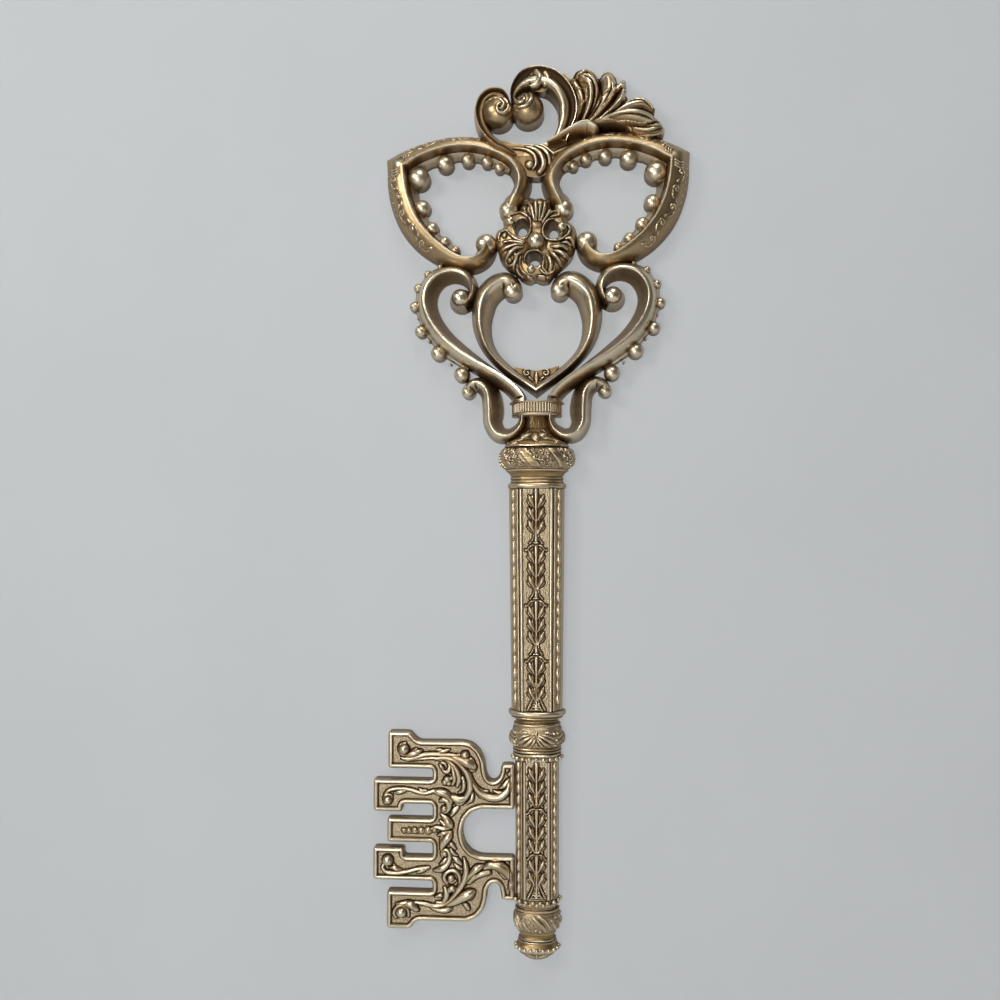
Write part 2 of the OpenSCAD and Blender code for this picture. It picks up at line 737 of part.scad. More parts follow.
module rosette_pearls() {
    color("khaki")
        for (h = pearl_places)
            translate([h[0], 0, h[1]])
                rotate([90, 0, 0])
                    union() {
                        translate([0, 0, scroll_h + 3.6])
                            sphere(r = 3.5);
                        translate([0, 0, 16 + gap])
                            cylinder(r = 1.2, h = scroll_h - 14);
                    }
}

// Hanger

hanger_w = 20;
hanger_top = 5;
hanger_bottom = -9;
screw_at = [7.2, -6];
screw_r = 1.1;

module hanger_outline(extra) {
    translate([-hanger_w / 2 - extra, hanger_bottom - extra])
        square([hanger_w + 2 * extra, hanger_top - hanger_bottom + 2 * extra]);
}

module hanger_recess() {
    translate([0, 1, 0])
        plate(hanger_t + 1 + gap)
            hanger_outline(gap);
    translate([0, 1, 0])
        plate(10)
            translate([-4.5, -4.5])
                square([9, 8.5]);
    for (s = [-1, 1])
        bore(s * screw_at[0], screw_at[1], screw_r + gap / 2, 0, 9);
}

module hanger_plate() {
    color("silver")
        difference() {
            plate(hanger_t)
                hanger_outline(0);
            bore(0, 0, hanger_eye_r, -1, 6);
            for (s = [-1, 1])
                bore(s * screw_at[0], screw_at[1], screw_r + gap, -1, 6);
        }
}

module hanger_screws() {
    color("silver")
        for (s = [-1, 1])
            translate([s * screw_at[0], -0.1, screw_at[1]])
                rotate([90, 0, 0])
                    cylinder(r = screw_r, h = 8, $fn = 24);
}

// Strap and neck

// Outline of a half band with reeds along its front
function reeded(w, d, n, amp) = [for (i = [0:n * 3])
    let (a = 180 * i / (n * 3), k = i % 3 == 0 ? 0 : amp,
         c = cos(a), s = sin(a))
    [(w + k) * sign(c) * pow(abs(c), 0.6), -(d + k) * pow(s, 0.6)]];

module binding_strap() {
    color("khaki")
        difference() {
            union() {
                translate([0, 0, -176.5])
                    linear_extrude(7.4)
                        polygon(reeded(20, 22.4, 22, 0.8));
                translate([0, 0, strap_bot])
                    linear_extrude(4.2)
                        polygon(reeded(20.8, 23.4, 12, 0));
                translate([0, 0, -169.2])
                    linear_extrude(1.9)
                        polygon(reeded(22.6, 24, 12, 0));
            }
            translate([-14, -17, strap_bot - 1])
                cube([28, 18, 10]);
        }
}

// Half oval ring at height z, half width w, depth d
function oval(z, w, d, n) = [for (i = [0:n]) let (a = 180 * i / n)
    [w * cos(a), -d * sin(a), z]];

module neck_calyx() {
    color("goldenrod")
        difference() {
            loft([for (r = [[bulb_top + gap, 27.6, 28], [-204.6, 27.6, 31],
                            [-202.6, 26, 33], [-199.6, 22, 31.6], [-195, 17, 29],
                            [-190, 13.4, 26], [calyx_top, 12, 23.4]])
                oval(r[0], r[1], r[2], 18)]);
            for (side = [0, 1])
                mirror([side, 0, 0])
                    seat(inside(part_of(s_path(), 12, len(s_path()) - 1), gap));
        }
}

// Half turned stack. Outlines are radius and height pairs.

function shift(p, z) = [for (q = p) [q[0], q[1] + z]];

module bulb_knop() {
    color("goldenrod")
        half_turned(shift([[upper_hollow_r, 0], [27.6, 0], [29.6, -1.6], [31.2, -5],
            [32, -9.6], [31.4, -13.6], [29.4, -17], [27, -18.8 + gap],
            [upper_spigot_r + gap, -18.8 + gap],
            [upper_spigot_r + gap, -12], [upper_hollow_r, -12]], bulb_top));
}

// Raised bands that wind across the front of the bulb
function bulb_r(z) = let (t = (z - bulb_top + 9.8) / 9.8) 32.35 - 3.4 * t * t;
function band_ring(a, z) = [for (k = [[-5.5, 0], [-5.5, 1.1], [0, 1.9], [5.5, 1.1],
        [5.5, 0], [0, 0]])
    let (b = a + k[0], r = bulb_r(z) + k[1])
    [r * cos(b), r * sin(b), z]];

module bulb_bands() {
    color("khaki")
        for (a = [164, 203, 242, 281, 320])
            loft([for (i = [max(0, ceil((188 - a) / 4.4)):min(9, floor((352 - a) / 4.4))])
                band_ring(a + i * 4.4, bulb_top - 1.6 - i * 1.75)]);
}

module upper_rings() {
    color("darkgoldenrod")
        half_turned([[upper_hollow_r, rings_top],
            [upper_hollow_r, rings_top + spigot_len],
            [upper_spigot_r, rings_top + spigot_len],
            [upper_spigot_r, rings_top], [26.6, rings_top],
            [26.6, -227.6], [22.4, -228.6], [20.4, -230.4], [21.6, -231.4],
            [23, -232.6], [21.6, -234.2], [21, -235], [22.2, -236.2],
            [23.4, -237.2], [25, -238.6], [25.2, -239.8], [24.6, -241.2],
            [23.6, upper_top + gap], [upper_spigot_r, upper_top + gap],
            [upper_spigot_r, upper_top - spigot_len],
            [upper_hollow_r, upper_top - spigot_len]]);
}

// Shaft cross section, half width w, depth d, floor f
function shaft_section(w, d, f) = [[-w, 0], [-w, d * 0.37], [-w * 0.64, f * 0.965],
    [-w * 0.58, d], [-w * 0.5, d], [-w * 0.47, f], [w * 0.47, f], [w * 0.5, d],
    [w * 0.58, d], [w * 0.64, f * 0.965], [w, d * 0.37], [w, 0]];

module tapered_shaft(z0, z1, w0, w1, d, f) {
    loft([for (e = [[z1, w1 / w0], [z0, 1]])
        [for (q = shaft_section(w0, d, f)) [q[0] * e[1], -q[1] * e[1], e[0]]]]);
}

module upper_shaft() {
    color("goldenrod")
        difference() {
            tapered_shaft(upper_top, upper_top - upper_len, upper_half_w,
                          upper_half_b, shaft_depth, floor_depth);
            translate([0, 0, upper_top - upper_len - 1])
                cylinder(r = upper_spigot_r + gap, h = upper_len + 2);
        }
}

// Running leaf pattern: height of the relief at x across and z along
function leafwork(x, z, pitch, half) =
    let (m = z / pitch - 0.9 * abs(x) / pitch, c = m - floor(m),
         blade = max(0, 1 - abs(c - 0.45) * 2.6),
         edge = max(0, 1 - pow(abs(x) / half, 4)))
    0.5 + 1.5 * blade * edge * (abs(x) > 0.9 ? 1 : 0)
        + (abs(x) < 0.9 ? 1.3 : 0);

module vine(z0, len, w, f, taper, pitch, knot) {
    n = round(len / 2.4);
    half = w * 0.4;
    cols = [-1, -0.72, -0.4, -0.16, 0, 0.16, 0.4, 0.72, 1];
    loft([for (i = [n:-1:0])
        let (z = -len * i / n, k = 1 + (taper - 1) * i / n,
             near_knot = abs((-z / knot) - round(-z / knot)) * knot < 1.9,
             b = f + gap)
        concat([[-half * k, -b * k, z0 + z]],
            [for (c = cols)
                [c * half * k,
                 -(b + 0.4 + (near_knot ? 2.1 - 1.4 * abs(c)
                    : leafwork(c * half, z, pitch, half))) * k, z0 + z]],
            [[half * k, -b * k, z0 + z]])]);
}

module upper_vine() {
    color("khaki")
        vine(upper_top, upper_len - gap, upper_half_w, floor_depth,
             upper_half_b / upper_half_w, 11.75, upper_len / 4);
}

module rope(x0, y0, z0, x1, y1, z1, r) {
    v = [x1 - x0, y1 - y0, z1 - z0];
    translate([x0, y0, z0])
        rotate([0, acos(v[2] / norm(v)), atan2(v[1], v[0])])
            cylinder(r = r, h = norm(v), $fn = 24);
}

module ropes(z0, z1, w0, w1, d, f) {
    a = 0.46;
    x = w0 * (1 - 0.36 * a);
    y = d * 0.37 + (f * 0.965 - d * 0.37) * a;
    t = 1.35 + gap;
    k = w1 / w0;
    for (s = [-1, 1])
        rope(s * (x + t * 0.84), -(y + t * 0.54), z0 - 0.3,
             s * (x * k + t * 0.84), -(y * k + t * 0.54), z1 + 0.3, 1.3);
}

module upper_rope_strips() {
    color("khaki")
        ropes(upper_top, upper_top - upper_len, upper_half_w, upper_half_b,
              shaft_depth, floor_depth);
}

module middle_collar() {
    z = collar_top;
    s = upper_half_b;
    color("darkgoldenrod")
        half_turned([[upper_hollow_r, z + spigot_len],
            [upper_spigot_r, z + spigot_len],
            [upper_spigot_r, z], [s, z], [24, z - 1.6], [24.2, z - 3.2],
            [23.6, z - 4.8], [21.6, z - 5.8], [22.4, z - 7], [18.4, z - 8.2],
            [17.6, z - 10], [18.6, z - 12], [21.6, z - 13], [21.8, mid_knop_top + gap],
            [lower_spigot_r, mid_knop_top + gap],
            [lower_spigot_r, mid_knop_top - spigot_len],
            [lower_hollow_r, mid_knop_top - spigot_len], [lower_hollow_r, z],
            [upper_hollow_r, z]]);
}

module middle_knop() {
    z = mid_knop_top;
    color("goldenrod")
        half_turned([[lower_hollow_r, z - 10], [lower_spigot_r + gap, z - 10],
            [lower_spigot_r + gap, z], [19.4, z], [21.2, z - 2.2],
            [22.4, z - 5.6], [22.8, z - 9.4], [22.2, z - 13], [20.4, z - 16],
            [18.6, z - 17.2], [19.6, z - 18.4], [20.8, z - 19.6],
            [20.8, z - 21], [19.4, bead_ring_top + gap],
            [lower_spigot_r + gap, bead_ring_top + gap],
            [lower_spigot_r + gap, z - 14],
            [lower_hollow_r, z - 14]]);
}

module pearls_round(r, z, ball, n) {
    for (i = [0:n - 1])
        rotate([0, 0, 180 + 180 * (i + 0.5) / n])
            translate([r, 0, z])
                sphere(r = ball, $fn = 16);
}

module bead_ring(top, r, bottom, ball, n, row) {
    difference() {
        union() {
            half_turned([[lower_hollow_r, top + spigot_len],
                [lower_spigot_r, top + spigot_len],
                [lower_spigot_r, top], [r - 1.4, top], [r, top - 1],
                [r, bottom + 1], [r - 1.4, bottom], [lower_hollow_r, bottom]]);
            pearls_round(r - 0.2, row, ball, n);
        }
        translate([-40, 0, -700])
            cube([80, 10, 400]);
    }
}

module upper_bead_ring() {
    color("khaki")
        union() {
            bead_ring(bead_ring_top, 22.2, lower_top + gap, 1.7, 14,
                      lower_top + 3);
            half_turned([[lower_hollow_r, lower_top + 1], [lower_spigot_r, lower_top + 1],
                [lower_spigot_r, lower_top - spigot_len],
                [lower_hollow_r, lower_top - spigot_len]]);
        }
}

module lower_shaft() {
    z = lower_top;
    color("goldenrod")
        difference() {
            tapered_shaft(z, z - lower_len, lower_half_w, lower_half_w * 0.98,
                          lower_depth, lower_floor);
            translate([0, 0, z - lower_len - 1])
                cylinder(r = lower_spigot_r + gap, h = lower_len + 2);
            for (t = bit_tenons)
                translate([-lower_half_w - 1, -7 - gap / 2, t[0] - gap / 2])
                    cube([5 + gap, 4 + gap, t[1] + gap]);
        }
}

module lower_vine() {
    color("khaki")
        vine(lower_top, lower_len - gap, lower_half_w, lower_floor, 0.98,
             11, 38.4);
}

module lower_rope_strips() {
    color("khaki")
        ropes(lower_top, lower_top - lower_len, lower_half_w,
              lower_half_w * 0.98, lower_depth, lower_floor);
}

module lower_bead_ring() {
    color("khaki")
        bead_ring(lower_bead_top, 19.6, end_knop_top + gap, 1.7, 12,
                  lower_bead_top - 2.6);
}

module end_knop() {
    z = end_knop_top;
    color("goldenrod")
        half_turned([[0, z], [18.4, z], [19.2, z - 2.4], [20, z - 6],
            [20.2, z - 11], [19.4, z - 15.6], [17.6, z - 19], [16, z - 20.6],
            [14.8, z - 22.2], [14.6, z - 24.2], [15.4, z - 25.8],
            [15.8, finial_top + gap],
            [finial_spigot_r + gap, finial_top + gap],
            [finial_spigot_r + gap, finial_top + finial_spigot_l + 1],
            [0, finial_top + finial_spigot_l + 1]]);
}

module finial_button() {
    z = finial_top;
    color("khaki")
        half_turned([[0, z + finial_spigot_l], [finial_spigot_r, z + finial_spigot_l],
            [finial_spigot_r, z], [15.8, z], [16.6, z - 2.8],
            [18.2, z - 6], [18.4, z - 7.6], [17.4, z - 9], [16.2, z - 10.2],
            [13.4, z - 13.2], [10, z - 15.8], [6, z - 17.8], [2.4, z - 18.6],
            [0, z - 18.7]]);
}

// Bit

bit_edge = lower_half_w + gap;
bit_outline = [[-bit_edge, -477.8], [-30.2, -477.8], [-31.4, -486.4],
    [-34, -491], [-37.8, -492.8], [-41.4, -490.6], [-43.4, -486],
    [-44.8, -475], [-49, -466.4], [-56, -460.4], [-64, -458.8],
    [-100.6, -459.2], [-104.6, -457], [-109.4, -451.4], [-128.4, -451.4],
    [-128.4, -483.2], [-89.8, -483.2], [-89.8, -492.4], [-141.2, -492.4],
    [-141.2, -520.4], [-116, -520.4], [-116, -513.6], [-89.8, -513.6],
    [-89.8, -525.6], [-129.2, -525.6], [-129.2, -546.4], [-89.8, -546.4],
    [-89.8, -558.2], [-114.6, -558.2], [-114.6, -551], [-141.4, -551],
    [-141.4, -579], [-89.8, -579], [-89.8, -588], [-129.4, -588],
    [-129.4, -620.4], [-109, -620.4], [-104.6, -614.6], [-100.6, -613],
    [-60, -613], [-51.6, -609.4], [-45.6, -602.6], [-43, -594],
    [-42.2, -585.4], [-39.6, -580.6], [-36, -579.2], [-32.6, -581],
    [-31, -585.6], [-30.2, -593.6], [-bit_edge, -593.6], [-bit_edge, -556.4],
    [-48, -556.4], [-56, -553.4], [-61.6, -547], [-63.8, -539],
    [-63.8, -534], [-61.6, -526], [-56, -519.6], [-48, -516.6],
    [-bit_edge, -516.6]];
bit_tenons = [[lower_top - 38, 28], [lower_top - 112, 28]];

module bit_plate() {
    ring = eased(bit_outline, 2.4);
    field = eased(inset(bit_outline, bit_border), 1.6);
    color("goldenrod")
        difference() {
            union() {
                translate([0, 0, bit_z])
                    difference() {
                        plate(bit_t)
                            polygon(ring);
                        plate(bit_sunk + 1, bit_t - bit_sunk)
                            polygon(field);
                    }
                for (t = bit_tenons)
                    translate([-lower_half_w + 0.2, -7, t[0]])
                        mirror([1, 0, 0])
                            translate([-3.8, 0, 0])
                                cube([10, 4, t[1]]);
            }
            translate([-bit_edge - 3, -40, lower_bead_top - 30])
                cube([10, 50, 30 + gap]);
        }
}

// Tendrils on the bit as runs of x, z, radius
tendrils = [
    [[-96, -463, 1.6], [-78, -466, 2], [-66, -476, 2.6], [-62, -490, 3],
     [-67, -501, 2.6], [-76, -504, 2], [-80, -497, 1.6]],
    [[-120, -468, 3.2], [-112, -474, 2], [-98, -471, 1.8], [-84, -474, 2.2],
     [-76, -484, 2.4]],
    [[-66, -480, 2], [-58, -497, 2.2], [-46, -505, 2.4], [-30, -502, 2.4],
     [-26, -492, 2]],
    [[-130, -510, 2.6], [-122, -503, 1.8], [-104, -503, 1.8], [-88, -503, 2],
     [-80, -512, 2.2], [-79, -524, 2]],
    [[-79, -550, 2], [-80, -560, 2.2], [-88, -568, 2], [-104, -570, 1.8],
     [-122, -570, 1.8], [-130, -561, 2.6]],
    [[-66, -600, 2.2], [-62, -586, 2.6], [-66, -574, 2.6], [-75, -569, 2.2],
     [-80, -576, 1.8]],
    [[-26, -584, 2], [-29, -572, 2.2], [-42, -567, 2.4], [-54, -574, 2.6],
     [-62, -590, 2.4], [-76, -601, 2.2], [-100, -602, 1.8], [-116, -606, 3]]];

module bit_foliage() {
    top = bit_t - bit_sunk + gap;
    color("gold")
        translate([0, 0, bit_z])
            intersection() {
                union()
                    for (run = tendrils, i = [0:len(run) - 2])
                        hull() {
                            blob([run[i][0], run[i][1], run[i][2], top], 0.9);
                            blob([run[i + 1][0], run[i + 1][1], run[i + 1][2], top], 0.9);
                        }
                plate(40, top)
                    polygon(inset(bit_outline, bit_border + 3 * gap));
            }
}

module bit_pearl_row() {
    top = bit_t - bit_sunk + gap;
    color("khaki")
        translate([0, 0, bit_z])
            for (i = [0:5])
                translate([-115 + i * 4.6, -top - 1.4 - i * 0.12, -536])
                    sphere(r = 1.4 + i * 0.12, $fn = 20);
}

left_lobe_frame();
right_lobe_frame();
left_lobe_beads();
right_lobe_beads();
crest_keystone();
crest_small_scroll();
crest_c_scroll();
crest_bosses();
crest_stem();
crest_leaf();
rosette_body();
rosette_leaves();
rosette_stud();
rosette_pearls();
left_heart_scroll();
right_heart_scroll();
left_volute_ball();
right_volute_ball();
left_edge_beads();
right_edge_beads();
inner_horseshoe();
horseshoe_patch();
left_s_scroll();
right_s_scroll();
scroll_dowels();
binding_strap();
neck_calyx();
bulb_knop();
bulb_bands();
upper_rings();
upper_shaft();
upper_vine();
upper_rope_strips();
middle_collar();
middle_knop();
upper_bead_ring();
lower_shaft();
lower_vine();
lower_rope_strips();
lower_bead_ring();
end_knop();
finial_button();
bit_plate();
bit_foliage();
bit_pearl_row();
hanger_plate();
hanger_screws();
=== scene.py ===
"""Looks of a decorative wall key: scroll bow, crest, rosette, ringed shaft and toothed bit.

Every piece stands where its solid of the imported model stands. Lengths in the lists
below are millimetres in the model's frame: x to the right, z up, and height above
the wall, which is towards the camera along -y.
"""
import math

import bmesh
import bpy
import numpy as np
from bpy.props import FloatProperty, FloatVectorProperty, PointerProperty
from mathutils import Matrix, Vector, geometry, kdtree


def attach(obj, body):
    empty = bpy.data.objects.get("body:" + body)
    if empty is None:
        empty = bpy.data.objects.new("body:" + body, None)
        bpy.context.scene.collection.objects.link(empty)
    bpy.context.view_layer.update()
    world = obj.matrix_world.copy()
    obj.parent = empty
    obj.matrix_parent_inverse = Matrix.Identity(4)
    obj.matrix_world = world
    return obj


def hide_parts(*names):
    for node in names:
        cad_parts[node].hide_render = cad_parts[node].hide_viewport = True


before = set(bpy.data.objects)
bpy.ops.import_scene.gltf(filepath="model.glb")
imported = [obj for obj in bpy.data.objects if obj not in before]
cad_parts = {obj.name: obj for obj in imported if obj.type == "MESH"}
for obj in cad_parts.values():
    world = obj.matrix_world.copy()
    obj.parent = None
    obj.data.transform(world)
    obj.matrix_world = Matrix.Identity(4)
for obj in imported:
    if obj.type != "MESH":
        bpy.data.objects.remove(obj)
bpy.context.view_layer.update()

bl_info = {
    "name": "Decorative Wall Key",
    "version": (1, 0, 0),
    "blender": (4, 5, 0),
    "location": "View3D > Sidebar > Wall Key",
    "description": "Builds the carved gold pieces of a decorative wall key",
    "category": "Object",
}

MM = 0.001
BAR_HEIGHT = 22
BACK_SLOPE = 0.4
PART_STEP = 0.02
PIECE_STEP = 0.007
WIDEST_IN_BEND = 0.93


# Curves and outlines

def bar(rows):
    """Rows of x, z, width to the right and left, height and floor, the last two filled in where left out"""
    return [tuple(row) + (BAR_HEIGHT, 0)[len(row) - 4:] for row in rows]


def smooth(rows, steps, closed=False):
    """Smooth run through rows of numbers, with steps points between two rows"""
    p = np.array(rows, float)
    q = np.vstack([p[-1:], p, p[:2]]) if closed else np.vstack([p[:1], p, p[-1:]])
    t = (np.arange(steps) / steps)[:, None]
    runs = []
    for a, b, c, d in zip(q, q[1:], q[2:], q[3:]):
        bend = 2 * a - 5 * b + 4 * c - d
        twist = 3 * b - a - 3 * c + d
        runs.append(0.5 * (2 * b + (c - a) * t + bend * t * t + twist * t ** 3))
    return np.vstack(runs if closed else runs + [p[-1:]])


def run_lengths(path):
    """Distance walked along a path up to each of its points"""
    return np.concatenate([[0], np.cumsum(np.linalg.norm(np.diff(path[:, :2], axis=0), axis=1))])


def nearest(path, point):
    """Number of the path's row that lies nearest to a point"""
    return int(np.argmin(np.linalg.norm(path[:, :2] - np.array(point[:2]), axis=1)))


def right_sides(p):
    """Side vectors to the right of travel, lengthened where the path has a corner"""
    d = np.diff(p[:, :2], axis=0)
    d /= np.linalg.norm(d, axis=1)[:, None]
    a = np.vstack([d[:1], d])
    b = np.vstack([d, d[-1:]])
    s = np.stack([a[:, 1] + b[:, 1], -(a[:, 0] + b[:, 0])], axis=1)
    m = s / np.linalg.norm(s, axis=1)[:, None]
    k = m[:, 0] * a[:, 1] - m[:, 1] * a[:, 0]
    return m / np.maximum(k, 0.5)[:, None]


def turned_round(p):
    """The same path walked the other way, its two sides exchanged"""
    q = np.array(p)[::-1].copy()
    q[:, [2, 3]] = q[:, [3, 2]]
    return q


def nosed(p, reach, steps=9):
    """Path with a rounded nose after its last row"""
    p = np.array(p)
    a = p[-1]
    d = a[:2] - p[-2, :2]
    d = d / np.linalg.norm(d)
    rows = []
    for t in np.sin(np.linspace(0, math.pi / 2, steps + 1))[1:]:
        k = max(0.05, math.sqrt(max(0.0, 1 - t * t)))
        h = a[5] + (a[4] - a[5]) * (0.4 + 0.6 * k)
        rows.append([a[0] + d[0] * reach * t, a[1] + d[1] * reach * t,
                     a[2] * k, a[3] * k, h, a[5]])
    return np.vstack([p, rows])


def calm(p):
    """Keeps each side narrower than the bend it lies in, so that no side folds over"""
    p = np.array(p)
    d = np.diff(p[:, :2], axis=0)
    length = np.linalg.norm(d, axis=1)
    angle = np.unwrap(np.arctan2(d[:, 1], d[:, 0]))
    turn = np.diff(angle) / (0.5 * (length[1:] + length[:-1]))
    turn = np.concatenate([[turn[0]], turn, [turn[-1]]])
    turn = np.convolve(np.pad(turn, 2, mode="edge"), np.ones(5) / 5, mode="valid")
    limit = WIDEST_IN_BEND / np.maximum(np.abs(turn), 1e-4)
    left = turn > 0
    p[:, 3] = np.where(left, np.minimum(p[:, 3], limit), p[:, 3])
    p[:, 2] = np.where(~left, np.minimum(p[:, 2], limit), p[:, 2])
    return p


def dense(loop, step):
    """Closed outline with points about a step apart"""
    loop = np.array(loop, float)[:, :2]
    out = []
    for a, b in zip(loop, np.roll(loop, -1, axis=0)):
        n = max(1, int(round(np.linalg.norm(b - a) / step)))
        out.append(a + (b - a) * (np.arange(n) / n)[:, None])
    return np.vstack(out)


def inside(points, loop):
    """Which points lie inside a closed outline"""
    x, z = points[:, 0], points[:, 1]
    hit = np.zeros(len(points), bool)
    for (x0, z0), (x1, z1) in zip(loop, np.roll(loop, -1, axis=0)):
        if z0 == z1:
            continue
        cross = (z0 > z) != (z1 > z)
        hit ^= cross & (x < (x1 - x0) * (z - z0) / (z1 - z0) + x0)
    return hit


def within(points, loops):
    """Which points lie inside the first outline and outside the others"""
    ok = inside(points, loops[0])
    for hole in loops[1:]:
        ok &= ~inside(points, hole)
    return ok


def away(points, loop):
    """Distance of each point from an outline's own points"""
    tree = kdtree.KDTree(len(loop))
    for i, p in enumerate(loop):
        tree.insert((p[0], p[1], 0), i)
    tree.balance()
    return np.array([tree.find((p[0], p[1], 0))[2] for p in points])


def circle(x, z, r, n=48, rz=None):
    """Round outline, or an upright oval where rz is given"""
    a = np.linspace(0, 2 * math.pi, n, endpoint=False)
    return np.stack([x + r * np.cos(a), z + (rz or r) * np.sin(a)], axis=1)


# Carving: strokes are runs of x, z, radius and height

def carve(points, strokes, lift=1.0, power=0.5, steps=5):
    """Height of rounded strokes at points. A row without a height takes lift times its radius."""
    total = np.zeros(len(points))
    for stroke in strokes:
        rows = np.array([list(r) + [r[2] * lift] if len(r) == 3 else r for r in stroke], float)
        if len(rows) == 1:
            rows = np.vstack([rows, rows + [0.01, 0, 0, 0]])
        elif len(rows) > 2:
            rows = smooth(rows, steps)
        lo = rows[:, :2].min(axis=0) - rows[:, 2].max()
        hi = rows[:, :2].max(axis=0) + rows[:, 2].max()
        near = np.nonzero(((points > lo) & (points < hi)).all(axis=1))[0]
        if not len(near):
            continue
        q = points[near]
        best = np.zeros(len(near))
        for a, b in zip(rows[:-1], rows[1:]):
            d = b[:2] - a[:2]
            t = np.clip(((q - a[:2]) @ d) / max(d @ d, 1e-9), 0, 1)
            gap = q - a[:2] - t[:, None] * d
            r = np.maximum(a[2] + (b[2] - a[2]) * t, 1e-3)
            h = a[3] + (b[3] - a[3]) * t
            u = (gap * gap).sum(axis=1) / (r * r)
            best = np.maximum(best, h * np.maximum(0, 1 - u) ** power)
        total[near] = np.maximum(total[near], best)
    return total * bpy.context.scene.wallkey_sizes.carving


def spiral(x, z, r0, r1, turns, start, width, height, way=1):
    """Spiral stroke from radius r0 to r1 round x, z"""
    n = max(6, int(abs(turns) * 14))
    rows = []
    for i in range(n + 1):
        t = i / n
        a = math.radians(start) + way * turns * 2 * math.pi * t
        r = r0 + (r1 - r0) * t ** 0.8
        rows.append((x + r * math.cos(a), z + r * math.sin(a),
                     width * (1 - 0.45 * t), height * (1 - 0.25 * t)))
    return rows


# Meshes

def fetched(items, key, width, kind):
    """Values of a mesh as rows of an array"""
    out = np.empty(len(items) * width, kind)
    items.foreach_get(key, out)
    return out.reshape(-1, width)


def mark(me, key, values):
    """Gives each point of a mesh a value"""
    me.attributes.new(key, "FLOAT", "POINT").data.foreach_set("value", np.asarray(values, np.float32))


def placed(name, data):
    """New object in the scene"""
    ob = bpy.data.objects.new(name, data)
    bpy.context.collection.objects.link(ob)
    return ob


def named(ob, name):
    """The object, it and its mesh under one name"""
    ob.name = name
    ob.data.name = name
    return ob


def finish_mesh(name, verts, faces, sharp=40, ground=None):
    """Object from millimetre points, with outward faces and a value for each point that paints hollows dark
    with patina and painted shade, and crests pale with rubbing and painted highlight
    """
    me = bpy.data.meshes.new(name)
    me.from_pydata((np.asarray(verts) * MM).tolist(), [], faces)
    me.validate()
    bm = bmesh.new()
    bm.from_mesh(me)
    bmesh.ops.recalc_face_normals(bm, faces=bm.faces)
    bm.to_mesh(me)
    bm.free()
    if ground is not None:
        mark(me, "ground", ground)
    add_wear_shade_sheen(me)
    me.shade_smooth()
    me.set_sharp_from_angle(angle=math.radians(sharp))
    return placed(name, me)


def add_wear_shade_sheen(me, rounds=10, reach=0.45, longest=4):
    """Value from 0 in hollows to 1 on crests, from how far a point stands off its neighbours; the gold turns
    it into patina and painted shade in the hollows and into rubbing and painted highlight on the crests
    """
    n = len(me.vertices)
    co = fetched(me.vertices, "co", 3, np.float32).astype(float) / MM
    no = fetched(me.vertex_normals, "vector", 3, np.float32)
    ed = fetched(me.edges, "vertices", 2, np.int32)
    ed = ed[np.linalg.norm(co[ed[:, 0]] - co[ed[:, 1]], axis=1) < longest]
    links = np.bincount(ed.ravel(), minlength=n)
    lone = links == 0
    even = co.copy()
    for _ in range(rounds):
        around = np.empty_like(even)
        for k in range(3):
            around[:, k] = (np.bincount(ed[:, 0], even[ed[:, 1], k], n)
                            + np.bincount(ed[:, 1], even[ed[:, 0], k], n)) / np.maximum(links, 1)
        around[lone] = even[lone]
        even = even * 0.4 + around * 0.6
    off = ((co - even) * no).sum(axis=1)
    mark(me, "wear", np.clip(0.5 + 0.5 * off / reach, 0, 1))


def loft(name, rings, sharp=40, ground=None):
    """Closed solid through closed rings of points"""
    rings = np.asarray(rings, float)
    n, m = rings.shape[:2]
    i, j = np.meshgrid(np.arange(n - 1), np.arange(m), indexing="ij")
    a = i * m + j
    b = i * m + (j + 1) % m
    faces = np.stack([a, a + m, b + m, b], axis=-1).reshape(-1, 4).tolist()
    faces.append(list(range(m)))
    faces.append(list(range(n * m - 1, (n - 1) * m - 1, -1)))
    return finish_mesh(name, rings.reshape(-1, 3), faces, sharp, ground)


def eased_side(power, fall, n=16):
    """Side of a bar from its crest out to its foot"""
    a = np.sin(np.linspace(0, math.pi / 2, n + 1))[1:]
    return np.stack([a, np.maximum(0, 1 - a ** power) ** fall], axis=1)


STEEP = np.array([(0.05, 0.992), (0.11, 0.965), (0.17, 0.91), (0.22, 0.84), (0.3, 0.74),
                  (0.4, 0.62), (0.5, 0.51), (0.6, 0.41), (0.7, 0.31), (0.8, 0.21), (0.9, 0.1), (1, 0)])
KNIFE = (STEEP, eased_side(2.2, 0.62))
ROUND = (eased_side(2.0, 0.52), eased_side(2.0, 0.55))
ROOF = (eased_side(1.7, 0.62), eased_side(1.7, 0.62))
FRONT_DEPTH, FRONT_POWER = 0.87, 2.44


def blended(first, second, share):
    """Kind of section part of the way from one to another"""
    sides = []
    for p, q in zip(first[:2], second[:2]):
        other = np.interp(p[:, 0], np.append(0, q[:, 0]), np.append(1, q[:, 1]))
        sides.append(np.stack([p[:, 0], p[:, 1] * (1 - share) + other * share], axis=1))
    return tuple(sides)


def finer(path, n):
    """The same path with n times as many rows"""
    path = np.array(path)
    t = (np.arange(n) / n)[:, None]
    rows = [a + (b - a) * t for a, b in zip(path[:-1], path[1:])]
    return np.vstack(rows + [path[-1:]])


def section(row, kind):
    """Cross section of a bar: distance to the right and height, from left foot to right foot"""
    left, right = kind[:2]
    middle = kind[2] if len(kind) > 2 else 1
    f, h = row[5], row[4] - row[5]
    u = np.concatenate([-left[::-1, 0] * row[3], [0], right[:, 0] * row[2]])
    v = np.concatenate([left[::-1, 1], [middle], right[:, 1]]) * h + f
    return np.stack([u, v], axis=1)


